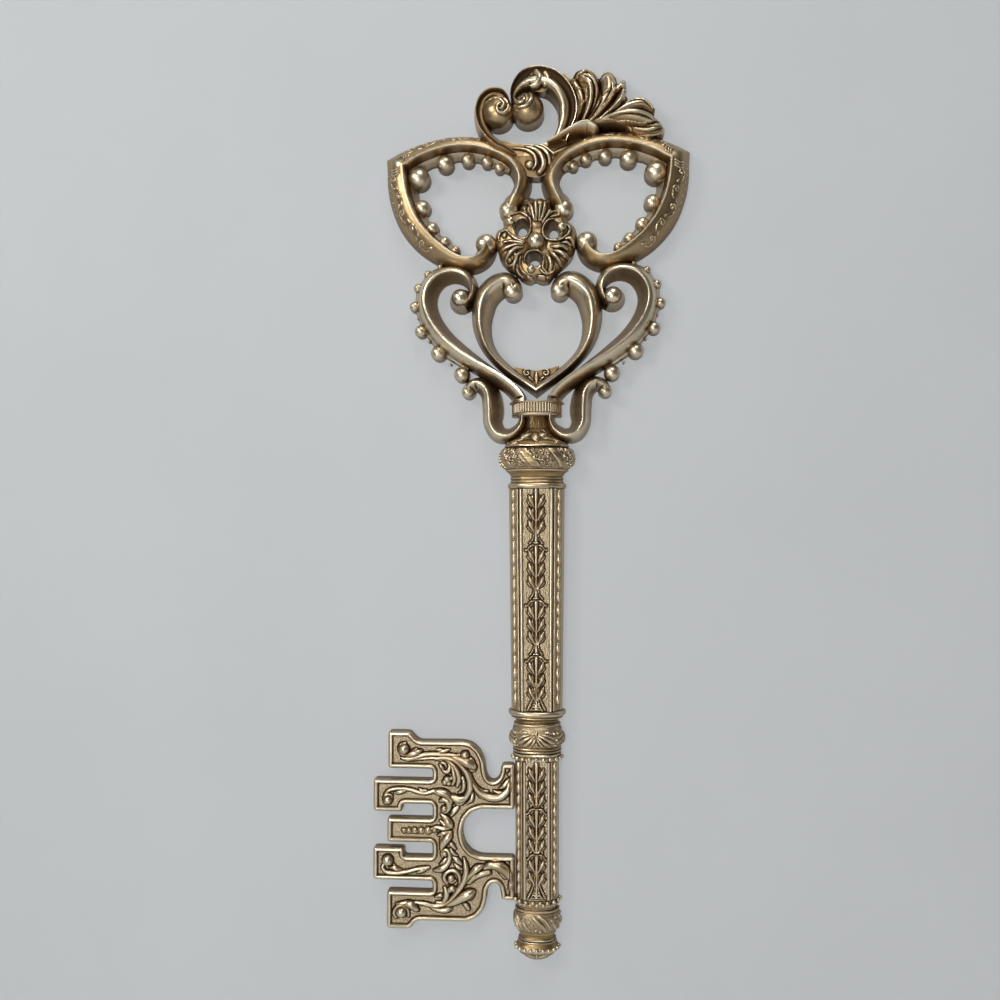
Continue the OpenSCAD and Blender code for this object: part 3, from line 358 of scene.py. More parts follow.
def sweep(name, path, kind, sharp=42, shape=None, side=1):
    """Bar along a path. Kind may change with the run, and shape may add to each row's section."""
    path = np.array(path)
    path[:, 5] = np.maximum(path[:, 5], 0) + np.linspace(0, BACK_SLOPE, len(path))
    q = right_sides(path)
    run = run_lengths(path)
    rings = []
    for i, row in enumerate(path):
        s = section(row, kind(run[i], run[-1]) if callable(kind) else kind)
        if shape:
            s = shape(s, run[i])
        rings.append(np.stack([side * (row[0] + q[i, 0] * s[:, 0]), -s[:, 1],
                               row[1] + q[i, 1] * s[:, 0]], axis=1))
    return loft(name, rings, sharp)


def panels(name, points, edges, rims):
    """Triangles that fill the first outline and leave the others open"""
    out = geometry.delaunay_2d_cdt([Vector(p) for p in points], edges, [], 0, 1e-6, False)
    if len(out[0]) != len(points):
        raise RuntimeError(name + ": an outline crosses itself")
    tri = np.array(out[2])
    return tri[within(points[tri].mean(axis=1), rims)]


def relief(name, outline, height, step=0.6, holes=(), back=0.0, sharp=38, ground=None, taper=1.0):
    """Plate with a carved front. Height gives the front's height at points of x and z."""
    rough = [np.array(loop, float)[:, :2] for loop in (outline, *holes)]
    loops = [dense(loop, step) for loop in rough]
    edge = np.vstack(loops)
    lo, hi = edge.min(axis=0), edge.max(axis=0)
    gx, gz = np.meshgrid(np.arange(lo[0], hi[0], step), np.arange(lo[1], hi[1], step))
    grid = np.stack([gx.ravel(), gz.ravel()], axis=1)
    grid = grid[within(grid, rough)]
    grid = grid[away(grid, edge) > step * 0.45]
    points = np.vstack([edge, grid])
    links = []
    first = 0
    for loop in loops:
        n = len(loop)
        links += [(first + i, first + (i + 1) % n) for i in range(n)]
        first += n
    front = panels(name, points, links, loops)
    rear_loops = [loops[0]] + [h.mean(axis=0) + (h - h.mean(axis=0)) * taper for h in loops[1:]]
    rear_edge = np.vstack(rear_loops)
    rear = panels(name, rear_edge, links, rear_loops)
    n, m = len(points), len(edge)
    verts = np.vstack([np.stack([points[:, 0], -height(points), points[:, 1]], axis=1),
                       np.stack([rear_edge[:, 0], np.full(m, -back), rear_edge[:, 1]], axis=1)])
    faces = front.tolist() + (rear[:, ::-1] + n).tolist()
    faces += [[a, b, b + n, a + n] for a, b in links]
    marked = None if ground is None else np.concatenate([ground(points), np.zeros(m)])
    return finish_mesh(name, verts, faces, sharp, marked)


def front_depth(r, angle):
    """How far the somewhat flattened front of a turned piece stands off the wall"""
    return r * FRONT_DEPTH * (1 - np.minimum(1, np.abs(np.cos(angle))) ** FRONT_POWER) ** (1 / FRONT_POWER)


def turned(name, outline, bump=None, sides=96, step=None, ground=None, depth=1.0):
    """Half turned piece from rows of radius and z. Bump adds to the radius at arc and z."""
    rows = np.array(outline, float)
    if step:
        fine = []
        for a, b in zip(rows[:-1], rows[1:]):
            k = max(1, int(round(np.linalg.norm(b - a) / step)))
            fine.append(a + (b - a) * (np.arange(k) / k)[:, None])
        rows = np.vstack(fine + [rows[-1:]])
    angle = np.linspace(math.pi, 2 * math.pi, sides + 1)
    r = np.repeat(rows[:, :1], len(angle), axis=1)
    z = np.repeat(rows[:, 1:2], len(angle), axis=1)
    a = np.repeat(angle[None, :], len(rows), axis=0)
    places = np.stack([((a - 1.5 * math.pi) * rows[:, 0].max()).ravel(), z.ravel()], axis=1)
    if bump:
        r = r + bump(places).reshape(r.shape) * (r > 1)
    rings = np.stack([r * np.cos(a), -front_depth(r, a) * depth, z], axis=-1)
    return loft(name, rings, 38, None if ground is None else ground(places))


def moved_forward(ob, distance):
    """Moves a mesh off the wall by millimetres"""
    ob.data.transform(Matrix.Translation((0, -distance * MM, 0)))


def joined(name, parts):
    """One object from several, each a hair further forward so that no two backs lie in one plane"""
    base = parts[0]
    for n, part in enumerate(parts):
        moved_forward(part, PART_STEP * n)
    if len(parts) > 1:
        with bpy.context.temp_override(active_object=base, selected_editable_objects=parts,
                                       selected_objects=parts, object=base):
            bpy.ops.object.join()
    return named(base, name)


def ball(x, z, r, height, foot=None, sides=28, squash=1.0):
    """Pearl with a body that runs back to the wall"""
    rows = [(r * math.cos(a), height + r * math.sin(a) * squash) for a in np.linspace(math.pi / 2, 0, 10)]
    rows.append((foot or r, 0.0))
    angle = np.linspace(0, 2 * math.pi, sides, endpoint=False)
    rings = []
    for wide, high in rows:
        wide = max(wide, 0.02)
        rings.append(np.stack([x + wide * np.cos(angle), np.full(sides, -high), z + wide * np.sin(angle)],
                              axis=1))
    return loft("ball", rings, 50)


# Finishes

# Tint of painted shade and painted warm reflection on walls that face sideways
WALL_SHADE_TINT = (0.56, 0.45, 0.38)
WARM = (1.0, 0.90, 0.78)


def node(tree, kind, x=0, y=0, **values):
    """New node of a tree, its own settings given by name"""
    n = tree.nodes.new(kind)
    n.location = (x, y)
    for key, value in values.items():
        setattr(n, key, value)
    return n


def ramp(tree, source, stops):
    """Colour read from stops of place and colour"""
    n = node(tree, "ShaderNodeValToRGB")
    while len(n.color_ramp.elements) > 1:
        n.color_ramp.elements.remove(n.color_ramp.elements[-1])
    first = n.color_ramp.elements[0]
    first.position, first.color = stops[0][0], (*stops[0][1], 1)
    for pos, colour in stops[1:]:
        n.color_ramp.elements.new(pos).color = (*colour, 1)
    tree.links.new(source, n.inputs["Fac"])
    return n.outputs["Color"]


def plug(tree, socket, value):
    """Links a socket to another's output, or sets it to a number or a colour"""
    if isinstance(value, (int, float)):
        socket.default_value = value
    elif isinstance(value, tuple):
        socket.default_value = (*value, 1)
    else:
        tree.links.new(value, socket)


def math_node(tree, op, a, b=None):
    """Output of a sum on one or two inputs"""
    n = node(tree, "ShaderNodeMath", operation=op)
    plug(tree, n.inputs[0], a)
    if b is not None:
        plug(tree, n.inputs[1], b)
    return n.outputs[0]


def ranged(tree, source, a, b, c, d):
    """Source taken from the range a to b over to the range c to d"""
    n = node(tree, "ShaderNodeMapRange")
    tree.links.new(source, n.inputs["Value"])
    for key, value in zip(("From Min", "From Max", "To Min", "To Max"), (a, b, c, d)):
        n.inputs[key].default_value = value
    return n.outputs["Result"]


def mixed(tree, factor, a, b, blend="MIX"):
    """Colour between a and b"""
    n = node(tree, "ShaderNodeMix", data_type="RGBA", blend_type=blend)
    for i, value in ((0, factor), (6, a), (7, b)):
        plug(tree, n.inputs[i], value)
    return n.outputs[2]


def pattern(tree, kind, output, **inputs):
    """Texture laid out in the piece's own coordinates"""
    n = node(tree, kind)
    for key, value in inputs.items():
        n.inputs[key].default_value = value
    tree.links.new(node(tree, "ShaderNodeTexCoord").outputs["Object"], n.inputs["Vector"])
    return n.outputs[output]


def noise(tree, scale, detail=3.0):
    """Soft cloudy value"""
    return pattern(tree, "ShaderNodeTexNoise", "Fac", Scale=scale, Detail=detail, Roughness=0.55)


def axis(tree, source, key):
    """One coordinate of a vector"""
    n = node(tree, "ShaderNodeSeparateXYZ")
    tree.links.new(source, n.inputs["Vector"])
    return n.outputs[key]


def grained(tree, shader, height, strength, distance):
    """Fine bump on a shader"""
    bump = node(tree, "ShaderNodeBump")
    bump.inputs["Strength"].default_value = strength
    bump.inputs["Distance"].default_value = distance
    tree.links.new(height, bump.inputs["Height"])
    tree.links.new(bump.outputs["Normal"], shader.inputs["Normal"])


def new_material(name):
    """Material and its tree of nodes"""
    mat = bpy.data.materials.new(name)
    mat.use_nodes = True
    return mat, mat.node_tree


def value_of(tree, name):
    """Value that a mesh has at its points"""
    return node(tree, "ShaderNodeAttribute", attribute_name=name).outputs["Fac"]


def gold(name, deep, body, crest, rough=0.36, stipple=False):
    """Satin gold paint: umber patina and painted shade in crevices, painted shade and a painted warm
    reflection on the walls, darker still near the board, a crest paled by rubbing and by painted highlight,
    and fine grain
    """
    s = bpy.context.scene.wallkey_finish
    mat, tree = new_material(name)
    shader = tree.nodes["Principled BSDF"]
    patina = noise(tree, 70.0, 4.0)
    grain = noise(tree, 1400.0, 2.0)
    shift = math_node(tree, "MULTIPLY", math_node(tree, "SUBTRACT", patina, 0.5), 0.20)
    # Hollows painted umber, partly patina and partly painted shade; crests painted pale, partly rubbing and
    # partly painted highlight
    wear_shade_sheen_level = math_node(tree, "ADD", value_of(tree, "wear"), shift)
    dim = tuple(0.3 * d + 0.7 * b for d, b in zip(deep, body))
    colour = ramp(tree, wear_shade_sheen_level, [(0.10, deep), (0.34, dim), (0.50, body), (0.80, crest)])
    # Walls that face sideways are painted darker and redder: painted shade and painted warm reflection
    facing = axis(tree, node(tree, "ShaderNodeNewGeometry").outputs["Normal"], "Y")
    wall = ranged(tree, math_node(tree, "ABSOLUTE", facing), 0.0, 0.8, 0.85, 0.0)
    wall_shade_colour = tuple(c * k for c, k in zip(body, WALL_SHADE_TINT))
    colour = mixed(tree, wall, colour, wall_shade_colour)
    # Walls close to the board painted darker still, towards the hollow colour: painted shade
    height = axis(tree, node(tree, "ShaderNodeTexCoord").outputs["Object"], "Y")
    low = ranged(tree, height, -0.018, -0.004, 0.0, 0.85)
    colour = mixed(tree, math_node(tree, "MULTIPLY", low, wall), colour, deep)
    speck = ranged(tree, grain, 0.35, 0.75, 0.90, 1.08)
    tint = node(tree, "ShaderNodeCombineColor")
    for key in ("Red", "Green", "Blue"):
        tree.links.new(speck, tint.inputs[key])
    colour = mixed(tree, 1.0, colour, tint.outputs["Color"], "MULTIPLY")
    relief_height = math_node(tree, "ADD", math_node(tree, "MULTIPLY", grain, 0.45),
                              math_node(tree, "MULTIPLY", noise(tree, 420.0, 3.0), 0.8))
    if stipple:
        ground = value_of(tree, "ground")
        pale = tuple(0.4 * b + 0.6 * c for b, c in zip(body, crest))
        colour = mixed(tree, math_node(tree, "MULTIPLY", ground, 0.8), colour, pale)
        pits = ranged(tree, pattern(tree, "ShaderNodeTexVoronoi", "Distance", Scale=s.stipple),
                      0.1, 0.75, 1.0, 0.0)
        # Pits of the stipple painted darker, towards the hollow colour: patina and painted shade
        dark = math_node(tree, "MULTIPLY", math_node(tree, "SUBTRACT", 1.0, pits), ground)
        colour = mixed(tree, math_node(tree, "MULTIPLY", dark, 0.4), colour, deep)
        beads = math_node(tree, "MULTIPLY", math_node(tree, "MULTIPLY", pits, ground), 4.5)
        relief_height = math_node(tree, "ADD", relief_height, beads)
    tree.links.new(colour, shader.inputs["Base Color"])
    shader.inputs["Metallic"].default_value = 0.92
    dull = ranged(tree, wear_shade_sheen_level, 0.1, 0.8, rough + 0.14, rough - 0.04)
    spots = ranged(tree, noise(tree, 260.0, 3.0), 0.3, 0.7, -0.04, 0.06)
    tree.links.new(math_node(tree, "ADD", dull, spots), shader.inputs["Roughness"])
    shader.inputs["Specular IOR Level"].default_value = 0.5
    grained(tree, shader, relief_height, s.grain, 0.00025)


def steel(name):
    """Zinc plated steel, brushed along the wall and spotted with dull patches"""
    mat, tree = new_material(name)
    shader = tree.nodes["Principled BSDF"]
    stretch = node(tree, "ShaderNodeMapping")
    stretch.inputs["Scale"].default_value = (60, 900, 1400)
    tree.links.new(node(tree, "ShaderNodeTexCoord").outputs["Object"], stretch.inputs["Vector"])
    lines = node(tree, "ShaderNodeTexNoise")
    lines.inputs["Scale"].default_value = 1.0
    lines.inputs["Detail"].default_value = 3.0
    tree.links.new(stretch.outputs["Vector"], lines.inputs["Vector"])
    colour = ramp(tree, lines.outputs["Fac"], [(0.3, (0.33, 0.34, 0.35)), (0.7, (0.62, 0.63, 0.64))])
    tree.links.new(colour, shader.inputs["Base Color"])
    shader.inputs["Metallic"].default_value = 1.0
    tree.links.new(ranged(tree, noise(tree, 300.0), 0.3, 0.7, 0.3, 0.5), shader.inputs["Roughness"])
    grained(tree, shader, lines.outputs["Fac"], 0.2, 0.0001)


def finishes():
    """The finishes by name, made once from the panel's colours"""
    s = bpy.context.scene.wallkey_finish
    if bpy.data.materials.get("antique gold") is None:
        deep, body, crest = tuple(s.deep), tuple(s.body), tuple(s.crest)
        warm = tuple(c * k for c, k in zip(body, WARM))
        gold("antique gold", deep, body, crest, s.roughness)
        gold("warm gold", deep, warm, crest, s.roughness + 0.04)
        # Pearls get crests painted paler still: a stronger painted highlight
        gold("bright pearl gold", deep, body, tuple(min(1, c * 1.05) for c in crest), s.roughness - 0.02)
        gold("stippled gold", deep, body, crest, s.roughness, stipple=True)
        steel("zinc plated steel")
    return {m.name: m for m in bpy.data.materials}


def set_down(ob, finish, slot, *nodes):
    """Gives a finished piece its material and its place, with a back of its own depth"""
    order = sum(m.users for m in finishes().values())
    moved_forward(ob, PIECE_STEP * order)
    ob.data.materials.clear()
    ob.data.materials.append(finishes()[finish])
    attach(ob, "root")
    if nodes:
        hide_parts(*nodes)
    return ob


# Repeated pieces by Geometry Nodes

def bead(tree, sizes, copy):
    """Round bead, stretched along its own height"""
    shape = node(tree, "GeometryNodeMeshUVSphere", -200, -300)
    shape.inputs["Rings"].default_value = 8
    scale = node(tree, "ShaderNodeCombineXYZ", -200, -500)
    scale.inputs["X"].default_value = 1.0
    scale.inputs["Y"].default_value = 1.0
    for label, socket in (("Segments", shape.inputs["Segments"]), ("Radius", shape.inputs["Radius"]),
                          ("Stretch", scale.inputs["Z"])):
        tree.links.new(sizes[label], socket)
    tree.links.new(shape.outputs["Mesh"], copy["Instance"])
    tree.links.new(scale.outputs["Vector"], copy["Scale"])


def reed(tree, sizes, copy):
    """Upright round reed"""
    shape = node(tree, "GeometryNodeMeshCylinder", -200, -300)
    shape.inputs["Vertices"].default_value = 14
    tree.links.new(sizes["Radius"], shape.inputs["Radius"])
    tree.links.new(sizes["Height"], shape.inputs["Depth"])
    tree.links.new(shape.outputs["Mesh"], copy["Instance"])


REPEATED = {
    "beads": (bead, [("Stretch", "NodeSocketFloat", 1.0), ("Segments", "NodeSocketInt", 12)]),
    "reeds": (reed, [("Height", "NodeSocketFloat", 0.007)])}


def repeating_tree(kind):
    """Tree that sets beads or reeds at an even spacing along a line"""
    shape, own_sizes = REPEATED[kind]
    tree = bpy.data.node_groups.new(kind + " along a line", "GeometryNodeTree")
    new_socket = tree.interface.new_socket
    new_socket("Geometry", in_out="INPUT", socket_type="NodeSocketGeometry")
    sizes = [("Spacing", "NodeSocketFloat", 0.005), ("Radius", "NodeSocketFloat", 0.0015), *own_sizes]
    for label, socket_type, default in sizes:
        new_socket(label, in_out="INPUT", socket_type=socket_type).default_value = default
    new_socket("Finish", in_out="INPUT", socket_type="NodeSocketMaterial")
    new_socket("Geometry", in_out="OUTPUT", socket_type="NodeSocketGeometry")
    source = node(tree, "NodeGroupInput", -600).outputs
    curve = node(tree, "GeometryNodeMeshToCurve", -400)
    even = node(tree, "GeometryNodeResampleCurve", -200, mode="LENGTH")
    copy = node(tree, "GeometryNodeInstanceOnPoints", 100)
    solid = node(tree, "GeometryNodeRealizeInstances", 300)
    soft = node(tree, "GeometryNodeSetShadeSmooth", 450)
    paint = node(tree, "GeometryNodeSetMaterial", 650)
    sink = node(tree, "NodeGroupOutput", 900)
    shape(tree, source, copy.inputs)
    for output, socket in (
            (source["Geometry"], curve.inputs["Mesh"]), (curve.outputs["Curve"], even.inputs["Curve"]),
            (source["Spacing"], even.inputs["Length"]), (even.outputs["Curve"], copy.inputs["Points"]),
            (copy.outputs["Instances"], solid.inputs["Geometry"]),
            (solid.outputs["Geometry"], soft.inputs["Geometry"]),
            (soft.outputs["Geometry"], paint.inputs["Geometry"]),
            (source["Finish"], paint.inputs["Material"]),
            (paint.outputs["Geometry"], sink.inputs["Geometry"])):
        tree.links.new(output, socket)
    return tree


def along(name, points, kind, finish, **sizes):
    """Plain mesh of what a tree repeats along a line of millimetre points"""
    me = bpy.data.meshes.new(name + " line")
    me.from_pydata((np.asarray(points) * MM).tolist(), [(i, i + 1) for i in range(len(points) - 1)], [])
    ob = placed(name, me)
    tree = bpy.data.node_groups.get(kind + " along a line") or repeating_tree(kind)
    mod = ob.modifiers.new("repeat", "NODES")
    mod.node_group = tree
    sizes["Finish"] = finishes()[finish]
    for item in tree.interface.items_tree:
        if item.item_type == "SOCKET" and item.in_out == "INPUT" and item.name in sizes:
            mod[item.identifier] = sizes[item.name]
    made = bpy.data.meshes.new_from_object(ob.evaluated_get(bpy.context.evaluated_depsgraph_get()))
    ob.modifiers.clear()
    ob.data = made
    made.name = name
    add_wear_shade_sheen(made, rounds=4)
    made.set_sharp_from_angle(angle=math.radians(45))
    made.materials.clear()
    return ob


# Bow

LOBE_CORNER = (-114.5, 37.2, 17, 5.5)
LOBE_TOP = bar([
    (-24, -1, 8, 7.4, 18), (-20, 6, 9, 9.4, 21), (-16.4, 13, 9.5, 7.6), (-14.4, 23, 10.5, 5.8),
    (-17.2, 32, 10.5, 5.5), (-25, 41, 10.5, 5.5), (-38, 48, 11, 5.5), (-53, 52.3, 11.8, 5.5),
    (-69, 53.2, 12.2, 5.5), (-86, 50.2, 13, 5.5), (-101, 44.7, 15, 5.5), LOBE_CORNER])
LOBE_SIDE = bar([
    LOBE_CORNER, (-113.4, 24, 17.8, 5.5), (-110, 8.5, 18, 5.5), (-103.2, -8.2, 17.5, 5.5),
    (-92, -23.5, 16, 5.5), (-78, -35.8, 13.5, 5.5), (-66.5, -42.6, 11.4, 5.5), (-56, -44.2, 10.6, 6.4),
    (-47.4, -39.6, 10.4, 7.2, 21), (-43, -31.4, 9.4, 7.4, 20)])
LOBE_BEADS = [
    (-102.4, 28.5, 9.8), (-79.3, 41.1, 7.6), (-59.4, 44, 6), (-42.6, 42.2, 5.4),
    (-31.8, 36.6, 4.6), (-99.3, 2.6, 7.1), (-90.6, -15.3, 5.7), (-79.8, -27.5, 5), (-70.3, -34.8, 4)]
HEART = bar([
    (-58.6, -80.5, 3, 1.2, 20), (-56.4, -74.5, 4.4, 2.2, 21.5), (-56.6, -67, 6, 3.5), (-62.5, -59, 7.6, 5.5),
    (-73, -55.8, 7.6, 6.6), (-85, -59, 8.6, 7.8), (-93, -68.5, 9, 8.4), (-95.3, -81, 9.2, 8.4),
    (-91, -95.5, 9.6, 8.4), (-80, -111, 10, 8.2), (-64.5, -124, 10, 7.2), (-47, -134.7, 10, 4.6),
    (-30, -144.6, 10.4, 2.2), (-17.6, -154.2, 10.6, 2), (-11, -162.6, 11, 2, 21.5),
    (-11, -168.3, 11.2, 2, 21)])
HEART_BALL = (-65.2, -78.2)
HEART_BEADS = [
    (-83.6, -48.6, 2.6), (-94.6, -55.2, 3.4), (-103, -67.4, 4), (-105.9, -83.4, 4.6),
    (-100.4, -105, 5.6), (-84.8, -124.4, 6.9), (-64.6, -143.2, 6.9)]
HORSESHOE = bar([
    (-19.2, -73.4, 6.6, 6.4, 19), (-21.4, -67, 9, 8.4, 21), (-28.4, -64.4, 11.4, 10.6),
    (-37, -68.4, 11.8, 11.4), (-44.2, -76.5, 10.6, 11.4), (-47.6, -88, 9.2, 10.6), (-47.8, -101, 8, 8.6),
    (-44.6, -115.5, 6, 7), (-37.5, -128, 4.4, 6), (-26, -140, 3.6, 6), (-13, -149.6, 3.6, 6)])
HORSESHOE_POINT = bar([(0, -158.8, 4, 6)])
CURLED_S = bar([
    (-58.8, -159.5, 5.8, 4.6, 17), (-57.4, -154, 6.8, 5.6, 20), (-51.5, -150.9, 7.4, 6.4),
    (-44.8, -153.8, 8, 7.6), (-40.7, -161.5, 7.8, 10), (-39.6, -174, 7.6, 11.2), (-39, -186, 7.2, 9.6),
    (-33.2, -194.8, 7.2, 8.2), (-24, -196.8, 5.8, 7.4), (-15.6, -191.6, 4.2, 6.2), (-12, -184.8, 2.6, 4.4),
    (-12, -179.6, 2.4, 4, 21)])
CURL_LEAVES = [
    [(0, 0, 0.8, 1.3)], [(1.6, 2.5, 0.5, 0.7), (4.6, 2.2, 0.6, 0.9), (7.6, 0.2, 0.5, 0.7)],
    [(6.4, -1.6, 0.5, 0.6), (8.6, -2.6, 0.7, 0.9)]]
SIDES = ((1, "left"), (-1, "right"))
ENGRAVED = (STEEP, eased_side(2.2, 0.62, 44))
END_ROUNDING = 26
CORNER_ROWS = 3
LEDGE_TAPER = 9
PATCH_LEVEL = 10.5


def rounded_start(p, reach):
    """Path with a rounded nose before its first row"""
    return turned_round(nosed(turned_round(p), reach))


def lobe_path():
    """Path of a lobe, its tight bends narrowed on both sides of the sharp corner"""
    top = smooth(LOBE_TOP, 12)
    path = nosed(rounded_start(np.vstack([top, smooth(LOBE_SIDE, 12)[1:]]), 6), 9)
    first = len(top) + 9 - CORNER_ROWS
    last = first + 2 * CORNER_ROWS
    return np.vstack([calm(path[:first]), path[first:last], calm(path[last:])])


def round_ends(kind):
    """Section that turns from round at both ends of a bar to its own kind"""
    def at(run, total):
        t = min(1, min(run, total - run) / END_ROUNDING)
        return blended(kind, ROUND, 1 - t * t * (3 - 2 * t))
    return at


def engraving(corner):
    """Scrollwork on the outer slopes of a lobe: run along the bar and distance out from its crest"""
    strokes = []
    for way, wide in ((-1, 12.4), (1, 17.2)):
        for k in range(5):
            flip = -1 if k % 2 else 1
            a = corner + way * (11 + 14 * k)
            mid = wide * (0.60 if way < 0 else 0.52 + 0.05 * flip)
            strokes.append(spiral(a, mid, 2.6, 0.7, 1.1, 90 * flip, 0.65, 1.05, way * flip))
            for stroke in CURL_LEAVES:
                strokes.append([(a + way * u, mid + v * flip, r, h) for u, v, r, h in stroke])
        for k in range(7):
            strokes.append([(corner + way * (6 + 5.2 * k), wide * 0.86, 0.8, 1.1)])
        for k in range(3):
            a, b = corner + way * (2.2 + 2.1 * k), wide * 0.2
            strokes.append([(a, b, 0.5, 0.8), (a + way * 1.7, b + wide * 0.24, 0.9, 1.3),
                            (a + way * 0.7, b + wide * 0.44, 0.8, 1.1)])
    return strokes


def lobe_frame(side):
    """Frame of a lobe with its engraved slopes and the balls its ends roll into"""
    path = finer(lobe_path(), 2)
    strokes = engraving(run_lengths(path)[nearest(path, LOBE_CORNER)])

    def engraved(s, at):
        out = s[:, 0] > 1.5
        s[out, 1] += carve(np.stack([np.full(out.sum(), at), s[out, 0]], axis=1), strokes) - 0.25
        s[:, 1] = np.maximum(s[:, 1], 0)
        return s
    return joined("lobe", [sweep("lobe", path, round_ends(ENGRAVED), 50, shape=engraved, side=side),
                           ball(side * -23.8, -1.6, 8.2, 11.6, foot=8.4, sides=40, squash=0.88),
                           ball(side * -43.4, -31.0, 9.0, 12.2, foot=9.2, sides=40, squash=0.84)])


def ledge(path, start, stop, reach, height, side, wall, beads):
    """Low shelf along one wall of a bar between two path points, drawn in between its beads"""
    part = path[nearest(path, start):nearest(path, stop) + 1]
    q = right_sides(part)
    rings = []
    for i, (row, s) in enumerate(zip(part, q)):
        foot = -row[3] if wall < 0 else row[2]
        x, z = row[0] + s[0] * foot, row[1] + s[1] * foot
        close = max(math.exp(-((x - a) ** 2 + (z - b) ** 2) / (1.3 * r * r)) for a, b, r in beads)
        taper = min(1, (i + 1) / LEDGE_TAPER, (len(part) - i) / LEDGE_TAPER)
        k = wall * reach * (0.5 + 0.75 * close) * taper
        u = np.array([foot * 0.6, foot * 0.6] + [foot + k * share for share in (0.1, 0.55, 0.9, 1, 1)])
        v = np.array([0, height + 5.5, height + 3.0, height + 1.0, height - 0.6, height - 2.2, 0])
        rings.append(np.stack([side * (row[0] + s[0] * u), -v, row[1] + s[1] * u], axis=1))
    return loft("ledge", rings, 40)


def lobe_beads(side):
    """Graduated beads on a ledge inside a lobe"""
    parts = [ledge(lobe_path(), (-20.5, 35.5), (-70, -40.6), 4.4, 5.4, side, -1, LOBE_BEADS)]
    return joined("lobe beads", parts + [ball(side * x, z, r, 8.2) for x, z, r in LOBE_BEADS])


def heart_path():
    return calm(smooth(HEART, 12))


def heart_scroll(side):
    return sweep("heart", heart_path(), KNIFE, 40, side=side)


def heart_ball(side):
    return ball(side * HEART_BALL[0], HEART_BALL[1], 7.9, 15, foot=11.2, sides=48)


def heart_beads(side):
    """Beads outside a lower scroll, with a small bead between two"""
    parts = [ledge(heart_path(), (-79, -56.6), (-54, -130.5), 2.6, 5.2, side, 1, HEART_BEADS)]
    parts += [ball(side * x, z, r, 8.0) for x, z, r in HEART_BEADS]
    for (x0, z0, r0), (x1, z1, r1) in zip(HEART_BEADS[:-1], HEART_BEADS[1:]):
        t = (r0 + 0.5) / (r0 + r1 + 1)
        parts.append(ball(side * (x0 + (x1 - x0) * t), z0 + (z1 - z0) * t, 1.1, 6.6, sides=14))
    return joined("heart beads", parts)


def horseshoe():
    """Ring scroll in the middle, its two halves mirrored at the point"""
    half = calm(rounded_start(smooth(HORSESHOE, 12), 5))
    other = half[::-1].copy()
    other[:, 0] *= -1
    parts = [sweep("horseshoe", np.vstack([half, HORSESHOE_POINT, other]), ROOF, 50)]
    parts += [ball(s * 20.2, -72.2, 8.0, 13.2, foot=8.2, sides=40, squash=0.86) for s in (-1, 1)]
    return joined("horseshoe", parts)


def s_scroll(side):
    path = calm(rounded_start(smooth(CURLED_S, 12), 4))
    return joined("s scroll", [sweep("s scroll", path, round_ends(KNIFE), 50, side=side),
                               ball(side * -59.0, -158.8, 5.6, 11.6, foot=5.8, sides=40)])


def patch():
    """Small carved plate in the point of the horseshoe"""
    outline = [(-14.4, -137.8), (-7.3, -139.8), (0, -140.5), (7.3, -139.8), (14.4, -137.8),
               (19.4, -136.6), (12.6, -146), (0, -156), (-12.6, -146), (-19.4, -136.6)]
    strokes = [spiral(-8, -142.5, 3.4, 0.8, 1.2, 60, 1.2, 1.8),
               spiral(8, -142.5, 3.4, 0.8, 1.2, 120, 1.2, 1.8, -1),
               [(0, -152, 0.8, 1.2), (0, -146.5, 1.6, 2.2), (0, -142.5, 1, 1.4)]]
    strokes += both_sides([[(3, -149, 0.7, 1.4), (6, -146.5, 1.2, 1.8)]])
    return relief("patch", outline, lambda p: PATCH_LEVEL + carve(p, strokes, 1.9), 0.5)


class WALLKEY_OT_bow(bpy.types.Operator):
    """Makes the open scrolls of the bow, left and right"""
    bl_idname = "wallkey.bow"
    bl_label = "Bow scrolls"

    def execute(self, context):
        for side, word in SIDES:
            for make, label in ((lobe_frame, "_lobe_frame"), (heart_scroll, "_heart_scroll"),
                                (s_scroll, "_s_scroll")):
                ob = make(side)
                ob.name = word + label + "_gilt"
                set_down(ob, "antique gold", "gold_scroll", word + label)
        ob = horseshoe()
        ob.name = "inner_horseshoe_gilt"
        set_down(ob, "antique gold", "gold_scroll", "inner_horseshoe")
        ob = patch()
        ob.name = "horseshoe_patch_carved"
        set_down(ob, "antique gold", "gold_relief", "horseshoe_patch")
        return {"FINISHED"}


class WALLKEY_OT_beads(bpy.types.Operator):
    """Makes the graduated bead rows and the volute balls of the bow"""
    bl_idname = "wallkey.beads"
    bl_label = "Bow beads"

    def execute(self, context):
        for side, word in SIDES:
            for make, label, finish in ((lobe_beads, "_lobe_beads", "warm gold"),
                                        (heart_beads, "_edge_beads", "warm gold"),
                                        (heart_ball, "_volute_ball", "bright pearl gold")):
                ob = make(side)
                ob.name = word + label + "_gilt"
                set_down(ob, finish, "gold_bead", word + label)
        return {"FINISHED"}


# Crest

